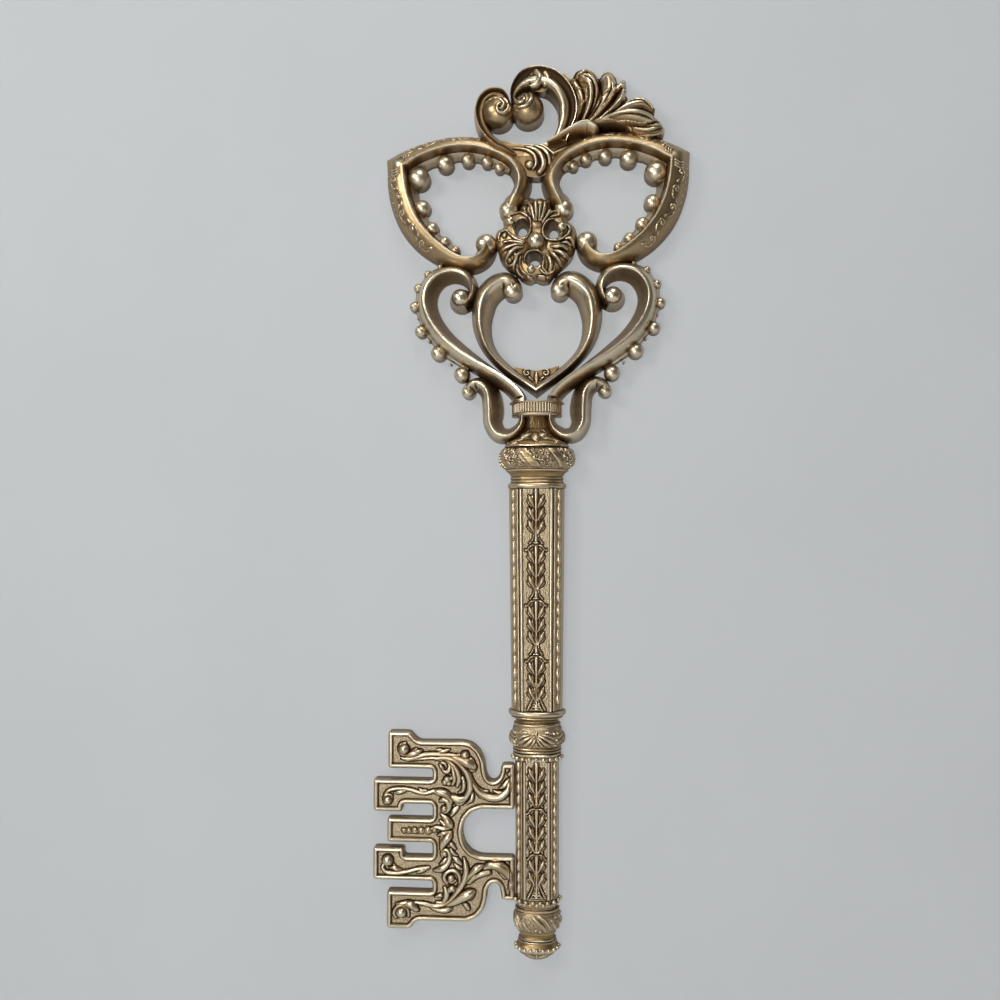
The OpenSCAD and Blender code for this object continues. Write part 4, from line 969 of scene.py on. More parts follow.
SMALL = bar([
    (-18, 44, 2.6, 2.6, 24, 6), (-25, 48.6, 3.4, 3.4, 25, 6), (-33, 53.2, 4.2, 4.2, 25.5, 6),
    (-41, 61, 4.6, 5, 24.5, 2), (-47, 71, 5.2, 5, 23), (-49.4, 82, 5.2, 4.6, 22.5),
    (-46.4, 92.4, 4.8, 4.6, 23), (-39.2, 98, 4.4, 5, 23), (-30.6, 97.6, 3.6, 4.6, 23.5),
    (-25.4, 92.6, 2.2, 3, 24), (-24.6, 86.6, 1.3, 1.8, 24.6, 8), (-27.6, 83.6, 0.9, 1.1, 25, 12),
    (-30, 86, 0.6, 0.8, 25, 14)])
LARGE = bar([
    (20.6, 57, 6.5, 6.5, 20), (24.4, 66.5, 6.5, 6.5), (27.2, 76, 8, 8.6, 25), (27, 86, 8.4, 8.6, 27),
    (22, 97, 8.6, 8.6, 28), (13.4, 105.4, 9, 8.6, 28), (2.4, 109, 9.2, 8.6, 27), (-8, 107.4, 8.8, 7.4, 26),
    (-16, 101, 5.6, 4.4, 24.5), (-19.4, 93, 2.6, 2.2, 23), (-16.6, 87.6, 1.6, 1.5, 23.6, 6),
    (-13, 88.4, 1.1, 1, 25, 12)])
STEM = bar([
    (10, 55, 3.4, 2, 20), (18.6, 59, 4.6, 2.6), (27, 63.4, 6, 2.4, 24), (35.6, 67.2, 8, 3, 26),
    (44, 68.6, 9.4, 3, 26), (50.5, 65.5, 8, 2, 25)])
TROUGH = (
    np.array([(0.10, 0.955), (0.22, 0.985), (0.36, 1.0), (0.50, 0.995), (0.64, 0.965), (0.78, 0.90),
              (0.90, 0.78), (0.97, 0.62), (1, 0.45), (1, 0)]),
    np.array([(0.10, 0.875), (0.22, 0.845), (0.36, 0.83), (0.50, 0.835), (0.64, 0.86), (0.76, 0.90),
              (0.82, 0.945), (0.87, 0.95), (0.91, 0.90), (0.95, 0.77), (0.985, 0.58), (1, 0.42), (1, 0)]),
    0.915)
TWIN = (
    np.array([(0.16, 0.83), (0.30, 0.87), (0.40, 0.925), (0.47, 0.975), (0.53, 0.985), (0.60, 0.95),
              (0.72, 0.85), (0.85, 0.68), (0.95, 0.48), (1, 0.3), (1, 0)]),
    np.array([(0.16, 0.845), (0.28, 0.88), (0.38, 0.90), (0.50, 0.87), (0.62, 0.79), (0.76, 0.70),
              (0.9, 0.62), (1, 0.52), (1, 0)]), 0.83)
LEAF_EDGE = [
    (27.5, 66), (34.5, 76), (36.5, 88), (32, 101), (23.2, 110), (23.2, 118.7), (30, 113.3), (34.3, 119.2),
    (42, 121.5), (49.7, 118.6), (54, 112.4), (58.2, 117.5), (63.4, 118.1), (68.5, 113.6), (70.1, 107.5),
    (75.2, 110.8), (77.8, 100.3), (76.9, 91.7), (88.8, 92.2), (98.1, 86.7), (101.4, 79.7), (98.9, 78.1),
    (105.6, 71), (109, 62.3), (107.3, 57.2), (95.4, 55), (80.2, 55), (64.9, 53), (52.1, 53), (40.2, 55)]
LEAF_MASS = [
    [(33, 71, 3, 15), (37, 80, 3.6, 17), (39, 89, 5.2, 18), (37, 98, 4.6, 17), (32.5, 107, 4.2, 15)],
    [(39, 70.5, 3.4, 17), (44.5, 82, 6, 20), (47, 93.5, 8.1, 21), (45.5, 104, 8.8, 20), (41, 112, 7.9, 17.5)],
    [(44.5, 69.5, 3.4, 19), (53.5, 79.5, 5.8, 22), (59, 89.5, 7.7, 22), (62.5, 100, 8.1, 20),
     (61.5, 108, 7.4, 17)],
    [(64.5, 94, 4.7, 20), (71.5, 100.5, 4.4, 18), (75, 105.5, 3, 15.5)],
    [(49, 69, 3.4, 20), (61.5, 77, 5.8, 23), (70.5, 85.5, 6.5, 23), (75, 95, 5, 20)],
    [(53.5, 69, 3.4, 22), (67, 75.5, 5.8, 24), (79.5, 82, 7.2, 24.5), (90.5, 83.5, 6.9, 23.5),
     (98.5, 79, 4.6, 20.5)],
    [(50, 68, 3.4, 25), (67, 71.5, 6.5, 29), (82.5, 70.5, 8.8, 31), (95, 67.5, 8.1, 29),
     (102, 65.5, 6, 24.5)],
    [(78, 65, 3.5, 20), (90.5, 60.5, 6.5, 22), (102, 60, 7, 22.5), (107, 61.5, 4.7, 19.5)],
    [(46.5, 59, 5, 13), (61.5, 57, 5, 14), (76, 57.5, 5.5, 15), (90.5, 56, 5.2, 15), (104, 57, 4, 14)]]
LEAF_RIBS = [
    [(31, 69.5, 0.8), (35, 77, 1.1), (36.5, 87.5, 1.2), (34.5, 96, 1.1), (31, 103, 0.8)],
    [(38, 85, 0.8), (42.6, 90, 1.1), (42.5, 97, 1.3), (38, 100.5, 1.1), (34, 99.5, 0.8)],
    [(38.5, 69, 0.9), (45, 81.5, 1.5), (47, 93, 1.7), (45, 103, 1.5), (39, 107.5, 1)],
    [(41.5, 68.5, 0.9), (49.5, 81.5, 1.7), (52.5, 95, 1.9), (50.5, 105.5, 1.6), (45, 112, 1.1)],
    [(31.8, 107.5, 1), (36.5, 112.5, 1.5), (44.5, 115.8, 1.7), (51, 112.5, 1.5), (54, 107.5, 0.9)],
    [(45, 67.5, 0.9), (56, 79, 1.9), (63, 87.5, 2.3), (66.5, 97.5, 2), (65, 103.5, 1.1)],
    [(56, 89, 0.8), (58.5, 94, 1.1), (62.5, 96.5, 1)],
    [(47.5, 67, 0.9), (62.5, 76.5, 1.9), (71, 85, 2.1), (73.5, 93.5, 1.4)],
    [(69, 101, 0.9), (73, 104.5, 1.2), (74.5, 99.5, 1), (73.5, 94, 0.8)],
    [(76.5, 84, 1.1), (81.5, 87.4, 1.9), (90.5, 87.4, 2), (97.5, 82, 1.6), (100, 77, 1)],
    [(52, 67, 0.9), (67, 72.5, 2), (80.5, 74, 3), (92.5, 72, 2.8), (100, 67, 1.5)],
    [(59, 66.6, 0.8), (72.5, 66, 1.4), (86, 63.5, 1.7), (97, 62.6, 1.3)],
    [(83.5, 62.5, 1.1), (95, 60.5, 1.9), (104, 63.5, 2.1), (107, 65.5, 1.3)],
    [(88, 56, 1.2), (99.5, 55, 1.7), (106, 57, 1.4)],
    [(49.5, 65.5, 0.9), (55.5, 67.4, 1.4), (64.5, 67.4, 1.5), (71, 65, 1.4), (74, 61, 1.1)],
    [(75, 66.6, 0.8), (79, 63, 1.5), (82, 58, 1.1)]]
LEAF_GROOVES = [
    [(37, 70, 0.6), (41, 80, 0.8), (42.5, 87, 0.8)],
    [(39.5, 69.5, 0.6), (47, 81.5, 0.8), (50, 94.5, 0.9), (48, 105, 0.9), (42, 110.5, 0.7)],
    [(43, 69, 0.6), (52, 80.5, 0.9), (56, 90, 0.9), (55.5, 100.5, 0.9), (54.4, 110, 0.8)],
    [(46.5, 68.5, 0.6), (59, 78, 0.9), (66.5, 86, 0.9), (69.4, 94, 0.8)],
    [(50.5, 68, 0.6), (64.5, 76, 0.9), (75, 83.5, 0.9), (76.5, 90, 0.8)],
    [(53.5, 67.5, 0.6), (67, 73.6, 0.9), (78, 77, 0.9), (90.5, 78.6, 0.8), (100.5, 74.5, 0.7)],
    [(76, 65.5, 0.6), (89.5, 63, 0.9), (103, 65.4, 0.8)]]
KEYSTONE_EDGE = [
    (0, 25), (6, 26), (14, 31), (26, 40), (40, 54), (38, 61), (26, 62), (12, 57.4), (6, 54.4), (0, 53.8),
    (-10, 55), (-20, 57.4), (-30, 60), (-37, 58), (-34, 50), (-22, 37), (-9, 27)]
KEYSTONE_RIBS = [
    [(-33, 53.5, 0.8), (-23, 52, 1), (-14, 51, 1.2), (-6, 48, 1.5), (-1, 42.5, 1.7), (0.2, 36.5, 1.5),
     (-2.5, 32, 1.1)],
    [(-5.5, 35.5, 3.4, 4)],
    [(-36, 59, 1.4), (-26.5, 51, 1.5), (-21.5, 46, 1.6), (-17.5, 43, 1)],
    [(-36.5, 54.5, 0.8), (-32.5, 50.5, 1), (-30, 47.5, 0.7)],
    [(-8.5, 52.5, 1.1), (-0.5, 49, 1.9), (5, 42, 2.3), (6.5, 34.5, 2.4), (3, 28.5, 2)],
    [(-0.5, 53, 1.2), (6.5, 49, 1.7), (11, 42.5, 1.6), (11.5, 36, 1.2)],
    [(3, 54, 1.1), (9, 50.5, 1.3), (15, 45, 1.2)],
    [(15.5, 45.5, 1.3), (25.5, 50.5, 1.4), (36, 55, 1.3)]]


def snail(x, z, r, top, winding, pit):
    """Ball whose face winds into an eye"""
    def height(p):
        d = np.hypot(p[:, 0] - x, p[:, 1] - z) / r
        dome = top - r + r * np.sqrt(np.maximum(0, 1 - np.minimum(d, 1) ** 2))
        return dome + carve(p, winding, 1.15) - carve(p, pit)
    return relief("ball", circle(x, z, r, 72), height, 0.4, sharp=60)


SMALL_WINDING = [
    [(-44, 92, 1.3), (-37, 96.4, 1.7), (-29, 95, 1.9), (-23.4, 89, 1.9), (-22.8, 82.6, 1.8), (-26.6, 78, 1.6),
     (-31.8, 79, 1.4), (-32.6, 84, 1.2), (-29.4, 87, 1)],
    [(-46.6, 84, 0.9), (-43.6, 90, 1), (-37.6, 92.6, 1), (-31, 91.6, 1), (-27.2, 87, 0.9),
     (-28, 83, 0.7)]]
LARGE_WINDING = [
    [(-10, 101, 1.7), (-15, 98, 1.9), (-18.4, 93, 1.9), (-17, 88, 1.8), (-12.4, 86.2, 1.6), (-9.6, 89.4, 1.3),
     (-11.8, 92.4, 1)],
    [(-6, 99, 1.4), (-3.2, 92.6, 1.7), (-4.4, 86.6, 1.7), (-9, 82.4, 1.5), (-14.5, 82, 1.2)],
    [(-12.2, 97, 0.9), (-8.4, 94, 1.1), (-7.4, 90.4, 0.9)]]
CURLED_TIPS = [
    [(0.6, 112.4, 2.6, 3.4), (3.4, 106.6, 4, 5.6), (0.6, 101.4, 3.6, 5.2), (-3.4, 100.2, 2.4, 3.4)],
    [(8, 111, 2.2, 3), (10.4, 105.4, 3, 4.6), (8.2, 101.4, 2.6, 4)],
    [(-6.6, 107.4, 2.4, 3), (-6.4, 103, 2.8, 3.6)], [(15.4, 105.6, 1.6, 2), (14.6, 100.6, 1.8, 2.6)]]
LEAF_PIT = [[(57, 62.4, 2.2, 4), (62.5, 62, 3.0, 5), (68, 61.4, 2.0, 4)]]
TIPS_LEVEL, LEAF_LOWEST, KEYSTONE_LEVEL = 22.5, 5, 15.5


def curled_tips(p):
    """Height of the rolled leaf tips that lie in the trough of the large scroll"""
    return TIPS_LEVEL + carve(p, CURLED_TIPS, power=0.55)


def leaf_height(p):
    """Height of the leaf: rounded blades with ribs on them and grooves between them"""
    mass = np.maximum(carve(p, LEAF_MASS, power=0.42), LEAF_LOWEST + 1)
    mass = mass + carve(p, LEAF_RIBS, 1.25) - carve(p, LEAF_GROOVES, 2.2)
    return np.maximum(mass - carve(p, LEAF_PIT, power=0.4), LEAF_LOWEST)


def keystone_height(p):
    """Height of the keystone, which falls towards its top and its sides"""
    fall = np.clip((p[:, 1] - 44) * 0.3, 0, 5)
    return KEYSTONE_LEVEL - fall - np.clip((np.abs(p[:, 0]) - 10) * 0.12, 0, 3) + carve(p, KEYSTONE_RIBS, 1.9)


class WALLKEY_OT_crest(bpy.types.Operator):
    """Makes the crest: keystone, small scroll, large curled scroll, stem and leaf"""
    bl_idname = "wallkey.crest"
    bl_label = "Crest"

    def execute(self, context):
        ob = relief("crest_keystone_carved", smooth(KEYSTONE_EDGE, 3, closed=True), keystone_height, 0.5)
        set_down(ob, "antique gold", "gold_relief", "crest_keystone")
        ob = sweep("crest_small_scroll_gilt", calm(smooth(SMALL, 10)), TWIN, 40)
        set_down(ob, "antique gold", "gold_scroll", "crest_small_scroll")
        parts = [sweep("large scroll", calm(smooth(LARGE, 12)), TROUGH, 36),
                 relief("tips", circle(3.5, 105.2, 9.6, 60), curled_tips, 0.45, back=12)]
        set_down(joined("crest_c_scroll_gilt", parts), "antique gold", "gold_scroll", "crest_c_scroll")
        parts = [snail(-33.0, 82.6, 13.8, 25.4, SMALL_WINDING, [[(-30.4, 83.6, 1.2, 1.0)]]),
                 snail(-7.2, 84.4, 14.0, 26.4, LARGE_WINDING, [[(-13.2, 90.2, 1.2, 1.0)]])]
        set_down(joined("crest_bosses_wound", parts), "bright pearl gold", "gold_bead", "crest_bosses")
        ob = sweep("crest_stem_gilt", calm(nosed(smooth(STEM, 8), 5)), ROUND, 40)
        set_down(ob, "warm gold", "gold_scroll", "crest_stem")
        ob = relief("crest_leaf_carved", smooth(LEAF_EDGE, 4, closed=True), leaf_height, 0.55)
        set_down(ob, "antique gold", "gold_relief", "crest_leaf")
        return {"FINISHED"}


# Rosette

ROSETTE_EDGE = [
    (34.9, -28.3), (34, -20.5), (30.4, -15.5), (26.6, -12.4), (24.6, -4.4), (18.6, -3), (13, -1.6),
    (12.2, 6.4), (7.6, 6.6), (3.4, 8.4), (-0.8, 7.2), (-5.4, 9), (-12, 7), (-13, -1.4), (-19.8, -5),
    (-26.4, -5.4), (-28.6, -12), (-28.2, -17.4), (-33.4, -19.6), (-35.2, -25), (-34.9, -31.9),
    (-32.6, -39), (-30.6, -45.9), (-24.5, -53), (-17, -57.4), (-12.4, -62.6), (-5.5, -65.4), (-0.6, -63.4),
    (4, -65.4), (10.8, -64.8), (14.6, -60), (22, -53.2), (27.6, -48), (31.8, -41.6)]
ROSETTE_RIMS = [
    [(-24.5, -15, 0.7), (-23.5, -9.5, 1.1), (-20, -6.5, 1.1), (-14, -6, 1.1), (-9, -9, 1.1), (-5, -14, 1.1),
     (-4.5, -19.5, 1.1), (-5.5, -25, 1.1), (-8, -29, 0.7)],
    [(24.5, -17.5, 0.8), (28, -19, 1.1), (28.5, -23.5, 1.1), (25.5, -28, 1.1), (20, -31.5, 1.1),
     (14.5, -32, 1.1), (8.5, -30, 1.1), (6, -25, 1.1), (7, -19, 1), (10.5, -14.5, 0.9), (15, -13, 0.8)],
    [(5.5, -43.5, 0.7), (1.5, -40, 1.1), (-4.5, -40.4, 1.1), (-8.6, -44, 1.1), (-9.6, -50, 0.8)],
    [(-13, -45, 0.7), (-13.5, -51.5, 1), (-11.5, -57, 1), (-6.5, -61, 0.8)],
    [(4, -55.5, 0.7), (6, -58.5, 1), (10, -59.5, 1), (15, -57, 0.9), (16, -53, 0.7)],
    [(-31.5, -30.5, 0.7), (-32, -26, 1), (-29, -22, 1.1), (-25, -22, 1.1), (-22.5, -25, 0.8)],
    [(-17.5, -43, 0.8), (-17.5, -48, 1.1), (-20.5, -51.5, 1.1), (-25, -51, 1), (-26, -46.5, 0.8)]]
ROSETTE_RIBS = [
    [(-1, -15, 1.2), (-2.5, -9.5, 1.6), (-4, -3.5, 1.8), (-6.5, 2, 1.5)],
    [(0.5, -15, 1), (0.5, -9, 1.4), (0, -3.5, 1.7), (-0.5, 2, 1.6)],
    [(3, -15, 1), (3.5, -8.5, 1.3), (4, -2, 1.6)],
    [(4.5, -15, 1), (6.5, -8.5, 1.4), (7.6, -3, 1.8), (8, 1.5, 1.6)],
    [(6, -16.5, 1), (9.5, -10.5, 1.4), (12, -5.5, 1.7)],
    [(-4.5, -9.5, 0.7), (-6.5, -5, 1.1), (-5, -1.5, 1.3), (-7, 1.5, 1.4), (-9.5, 2, 1)],
    [(-9.5, -4, 0.7), (-11, -1.5, 1.3), (-13.5, -1, 1.2), (-14, 0.5, 0.7)],
    [(13, -11, 0.7), (16.5, -10, 1.1), (19.5, -9, 1.2), (19, -6.5, 1), (16.5, -5, 0.7)],
    [(11.5, -8.5, 0.7), (14.5, -6, 1.2), (16.5, -4, 0.9)],
    [(13, -37.5, 0.8), (18, -38, 1.7), (23, -37.5, 1.9), (26.5, -40, 1.4)],
    [(16, -41, 0.9), (21, -43, 2), (25.5, -45.5, 2.3), (29, -45.5, 1.4)],
    [(12, -41.5, 0.8), (15.5, -45, 1.7), (19, -48.5, 1.9), (22, -52.5, 1.4)],
    [(9, -44, 0.8), (11.5, -47.5, 1.7), (13, -52, 2.1), (12, -57, 1.6)],
    [(6, -45, 0.7), (6.5, -49.5, 1.2), (6, -54.5, 1.3), (9, -58.5, 1.1)],
    [(25.5, -30, 0.9), (29, -29.5, 1.7), (31.5, -32, 1.8), (32.5, -35.5, 1.2)],
    [(22.5, -33.5, 0.7), (26.5, -33.5, 1.4), (29.5, -35.5, 1.4)],
    [(-9.5, -32.5, 0.9), (-14.5, -31, 1.3), (-19.5, -28, 1.3), (-23, -24.5, 1)],
    [(-10.5, -34, 0.9), (-16.5, -32.5, 1.2), (-22.5, -31.5, 1.2), (-28, -32, 1)],
    [(-27, -26, 2.3, 3)], [(-22.5, -48, 2, 2.6)],
    [(-11, -35.5, 0.8), (-17.5, -35.5, 1.3), (-25, -37.5, 1.7), (-31, -40, 1.2)],
    [(-11, -37.5, 0.8), (-16.5, -38.5, 1.4), (-21.5, -42, 1.9), (-25, -46, 1.3)],
    [(-12.5, -42, 0.7), (-15.5, -44, 1.1), (-16.5, -47, 1.2), (-19.5, -54, 1.2), (-18.5, -57, 0.8)],
    [(-16.5, -55, 1), (-15, -59, 1.4), (-12, -61.5, 1.1)],
    [(-7, -62, 1.4), (-3.5, -63, 1.6)], [(2.5, -62, 1.6), (7, -62.6, 1.8)]]
ROSETTE_HOLES = [circle(-12.0, -20.0, 6.2, 44, 7.8), circle(15.0, -22.4, 6.2, 44, 7.8),
                 circle(-1.5, -47.4, 7.0, 44, 6.0)]
HOLE_TAPER = 0.62
ROSETTE_PEARLS = [(-21.4, -14.8, 4.0), (21.9, -20.4, 3.8), (-4, -56, 3.5)]
ROSETTE_MIDDLE = (0, -32.5)
ROSETTE_SHEDS = [[(0, -14, 7, 2.4), (1, 0, 9, 3.4)], [(14, -36, 6, 2.0), (24, -43, 9, 3.0)],
                 [(-12, -36, 6, 2), (-24, -42, 9, 3)]]
ROSETTE_LEVEL, BROW, BROW_WIDTH = 22.0, 5.5, 5.5


def rosette_face():
    """The carved front of the rosette with its three tapered holes"""
    outline = smooth(ROSETTE_EDGE, 3, closed=True)
    edge = dense(outline, 0.5)

    def height(p):
        d = np.hypot(p[:, 0] - ROSETTE_MIDDLE[0], p[:, 1] - ROSETTE_MIDDLE[1])
        brow = BROW * (1 - np.clip(away(p, edge) / BROW_WIDTH, 0, 1)) ** 2.2
        base = ROSETTE_LEVEL - np.clip((d - 20) * 0.34, 0, 6) - np.clip((11 - d) * 0.25, 0, 1.5)
        mouth = np.min([away(p, hole) for hole in ROSETTE_HOLES], axis=0)
        base = base - brow + carve(p, ROSETTE_SHEDS, power=0.8) - 2.2 * np.clip(1 - mouth / 1.6, 0, 1) ** 2
        return base + np.maximum(carve(p, ROSETTE_RIBS, 2.0), carve(p, ROSETTE_RIMS, 2.4))
    return relief("rosette_leaves_carved", outline, height, 0.42, ROSETTE_HOLES, back=1.6, taper=HOLE_TAPER)


class WALLKEY_OT_rosette(bpy.types.Operator):
    """Makes the rosette with its three leaves, three holes, stud and pearls"""
    bl_idname = "wallkey.rosette"
    bl_label = "Rosette"

    def execute(self, context):
        set_down(rosette_face(), "antique gold", "gold_relief", "rosette_leaves", "rosette_body")
        ob = named(ball(*ROSETTE_MIDDLE, 7.0, 24.2, foot=7.2, sides=44), "rosette_stud_gilt")
        set_down(ob, "bright pearl gold", "gold_bead", "rosette_stud")
        pearls = [ball(x, z, r, 23.4, foot=r * 0.9) for x, z, r in ROSETTE_PEARLS]
        set_down(joined("rosette_pearls_gilt", pearls), "bright pearl gold", "gold_bead", "rosette_pearls")
        return {"FINISHED"}


# Neck, knops and rings

STRAP_POWER = 0.9
UPPER_TOP, UPPER_END = -242.6, -430.6
LOWER_TOP, LOWER_END = -473.9, -589.1
CALYX = [(12, -180.9), (13.4, -190), (17, -195), (22, -199.6), (26, -202.6), (27.6, -204.6), (27.6, -206.4)]
TREFOIL = [(-13, -198.4), (-11, -195.8), (-6.8, -194.6), (-3.6, -194.8), (0, -193.6), (4, -194.6),
           (8.2, -194.2), (9.4, -195.6), (8.4, -198.2), (5.2, -199.6), (4, -201.6), (1.2, -203.2),
           (-2, -201.8), (-4.4, -200), (-7, -199.8), (-9.6, -200.8), (-12.2, -200.4)]
BULB = [(24, -206.7), (27.6, -206.9), (29.8, -208.5), (31.5, -211.9), (32.2, -216.3), (31.6, -220.0),
        (29.8, -223.1), (27.8, -225.1), (26.9, -225.6), (20, -225.7)]
UPPER_RINGS = [
    (20, -225.8), (26.6, -225.8), (27, -226.5), (26.4, -227.3), (25.2, -228), (23.8, -229.4),
    (22.8, -231), (22.3, -232), (22.9, -232.5), (23.3, -233.3), (22.8, -234.1), (22.2, -234.6),
    (22.6, -235.2), (23.1, -236), (22.9, -236.9), (23.6, -237.3), (24.9, -238.2), (25.3, -239.7),
    (24.8, -241.2), (23.8, -242.2), (20, -242.3)]
COLLAR = [
    (20, -430.9), (22, -431), (24, -431.9), (24.6, -433.4), (24.3, -435), (23, -435.9), (21.7, -436.3),
    (22.1, -436.9), (22.2, -437.7), (21.2, -438.3), (19.2, -438.9), (18.2, -440.2), (18.3, -441.4),
    (19, -442), (20, -442.9), (20.2, -443.9), (19.6, -444.9), (17, -445)]
KNOP = [
    (17, -445.1), (19.8, -445.2), (21.2, -447.2), (22.4, -450.4), (23, -454.5), (22.6, -458.2),
    (21, -461.4), (19.8, -462.4), (20.3, -463), (20.7, -463.8), (20.2, -464.6), (19.9, -464.9),
    (20.8, -465.4), (21, -466.2), (20.4, -467), (19.4, -467.4), (17, -467.5)]
UPPER_BEAD_RING = [
    (17, -468), (20.2, -468.1), (20.9, -468.8), (20.6, -469.8), (19.8, -470.4), (19.6, -472.6),
    (19.4, -473.8), (17, -473.9)]
LOWER_BEAD_RING = [
    (14, -589.5), (18.6, -589.6), (18.9, -590.1), (17.9, -590.8), (17.7, -593.4), (18.6, -594.6),
    (18.2, -596.8), (17.6, -597.4), (17.4, -598.2), (17.2, -599), (14, -599.1)]
END_KNOP = [
    (12, -599.3), (18, -599.4), (18.9, -600), (19, -600.9), (18.3, -601.6), (18.9, -602.5),
    (19.9, -605.4), (20.2, -609.4), (19.8, -613), (18.6, -616.4), (17, -618.6), (16.7, -619.4),
    (16.4, -620.3), (15.2, -621), (14.7, -622.4), (14.8, -623.8), (15.4, -624.8), (16, -625.3),
    (15.8, -626), (12, -626.2)]
FINIAL = [
    (12, -626.6), (15.7, -626.7), (16.4, -627.4), (16.3, -628.2), (16.8, -629.6), (17.9, -631.6),
    (18.4, -633.6), (17.6, -635.4), (16.2, -636.7), (13.4, -639.7), (10, -642.3), (6, -644.3), (2.4, -645.1),
    (0.2, -645.2)]
STRAP_CORE = [
    (20.4, 21.4, -180.6), (21.3, 22.5, -180.2), (21.9, 23.3, -179.4), (22, 23.5, -178.5),
    (21.4, 22.9, -177.6), (20, 21.4, -177), (20.4, 21.6, -172), (21.8, 22.4, -169.5),
    (23.4, 23.4, -168.9), (23.9, 23.9, -168.2), (23.4, 23.4, -167.6), (21.4, 22, -167.4)]
CALYX_LEAF = [
    [(2, -196.4, 2, 1.6), (8.5, -197.2, 3.4, 2.7), (14, -198.4, 2.8, 2.2), (18.4, -200.6, 1.3, 1.2)],
    [(7, -187.4, 0.6, 0.8), (11, -192, 0.8, 1.1), (17, -196.4, 0.8, 1), (25, -200, 0.6, 0.8)],
    [(15, -198.2, 1.4, 1.2), (22, -200.8, 2.3, 2), (29.5, -203.4, 2, 1.6), (35, -204.8, 1, 0.9)],
    [(20, -203.0, 1.2, 1.0), (25, -204.6, 1.3, 1.0)], spiral(37, -201.6, 2.6, 0.8, 1.1, 200, 1.0, 1.2)]
CALYX_LIP = [[(-46, -205.9, 1.1, 1.0), (46, -205.9, 1.1, 1.0)]]
CALYX_DROPS = [
    [(-4.4, -196, 1.6, 1.6), (-8, -197.2, 2.6, 2.6), (-11.2, -198.8, 1.8, 2)],
    [(-1, -195.4, 1.8, 1.8), (-0.4, -198.4, 4, 3.6), (1.2, -201.2, 2.2, 2.4)],
    [(3, -195.4, 1.6, 1.6), (5.6, -196.6, 2.8, 2.8), (8, -195.8, 1.4, 1.6)]]
BULB_START, BULB_PITCH = -14.5, 27.5
BULB_CURLS = [(11.0, -209.6, 2.7), (19.4, -209.8, 2.6), (15.2, -215.2, 3.0), (24.0, -215.4, 2.7),
              (20.2, -221, 2.8), (28.6, -221.2, 2.4)]
BULB_BERRIES = [(15.2, -211.4), (20.4, -212.8), (17.6, -218.4), (24.8, -218.6), (10.4, -213.4), (25, -223.4)]
PALMETTE_PITCH, END_PITCH = 38.8, 27
PALMETTE_LEAF = [
    [(1.4, -452, 1, 1.2), (4.6, -455.4, 1.9, 2), (8.6, -458.6, 2, 2), (13, -461.4, 0.8, 1)],
    [(2.6, -451.2, 0.9, 1), (7.4, -453.4, 1.7, 1.9), (12.6, -456.4, 1.9, 1.9), (17.4, -458.4, 0.9, 1.2)],
    [(0.8, -453.6, 0.8, 1), (2.8, -457.6, 1.4, 1.6), (6.4, -461.2, 0.8, 1)],
    [(6, -450.6, 0.7, 0.9), (10.4, -451.6, 1.3, 1.5), (15.4, -453.4, 1.2, 1.4), (18.6, -453, 0.7, 0.9)],
    [(8.4, -449, 0.6, 0.9), (11.4, -448.6, 1, 1.3), (14.4, -449.8, 0.8, 1)], [(1.6, -460.4, 1.1, 1.5)],
    [(17.2, -450, 1.3, 1.7)], [(19.6, -455.4, 1.3, 1.7)], [(19.2, -460.4, 1.2, 1.5)],
    [(14.6, -461.6, 0.9, 1.2)]]
PALMETTE_STEM = [[(0, -456.6, 0.7, 1.1), (0, -459.0, 1.3, 1.7), (0, -461.6, 0.7, 1.0)],
                 [(0, -448.6, 1, 1.1), (0, -451, 1.4, 1.6)]]
END_LEAVES = [
    [(-3, -604, 1.3, 1), (1.2, -608, 2.3, 1.5), (5.4, -612.6, 2.3, 1.5), (9, -617.2, 1, 0.9)],
    [(2.4, -603.2, 1, 0.9), (7.2, -606.4, 1.6, 1.3), (10.6, -611, 1.3, 1.2), (13, -615.4, 0.7, 0.8)],
    [(-13.6, -607.4, 1, 0.9), (-10.2, -611.6, 1.7, 1.3), (-6.4, -616.6, 1, 0.9)],
    spiral(14.2, -608.0, 2.4, 0.6, 1.2, 200, 0.75, 1.3)]
END_BERRIES = [
    (14.2, -608, 0.9, 1.4), (-6, -608.2, 1.1, 1.5), (-3.4, -610.6, 1, 1.4), (-7.8, -611, 0.9, 1.3),
    (-8.4, -605.4, 0.9, 1.2), (-0.4, -615.8, 1.2, 1.5), (3.4, -617.4, 1.1, 1.4), (-2.6, -613.2, 1, 1.4),
    (-4.4, -617.6, 0.8, 1), (11.4, -617.4, 0.8, 1), (17, -612.6, 0.9, 1.2)]
FINIAL_LEAF = [
    [(1.5, -639.4, 1, 0.9), (5.4, -638.6, 1.7, 1.3), (10, -637, 1, 0.8)],
    [(1.5, -641.6, 1, 0.8), (6.4, -641, 1.4, 1), (11.4, -639.6, 0.7, 0.6)],
    [(14, -638.4, 1.1, 0.9), (18.6, -636.9, 0.9, 0.7)]]
FINIAL_STEM = [[(0, -637.4, 1.0, 0.9), (0, -640.6, 1.9, 1.3), (0, -643.4, 0.9, 0.6)]]
TEETH_PITCH = 5.6


def both_sides(strokes):
    """Strokes and their mirror images"""
    return strokes + [[(-r[0],) + tuple(r[1:]) for r in stroke] for stroke in strokes]


def repeated(strokes, shifts):
    """Strokes set again at each shift round a piece"""
    return [[(r[0] + shift,) + tuple(r[1:]) for r in stroke] for shift in shifts for stroke in strokes]


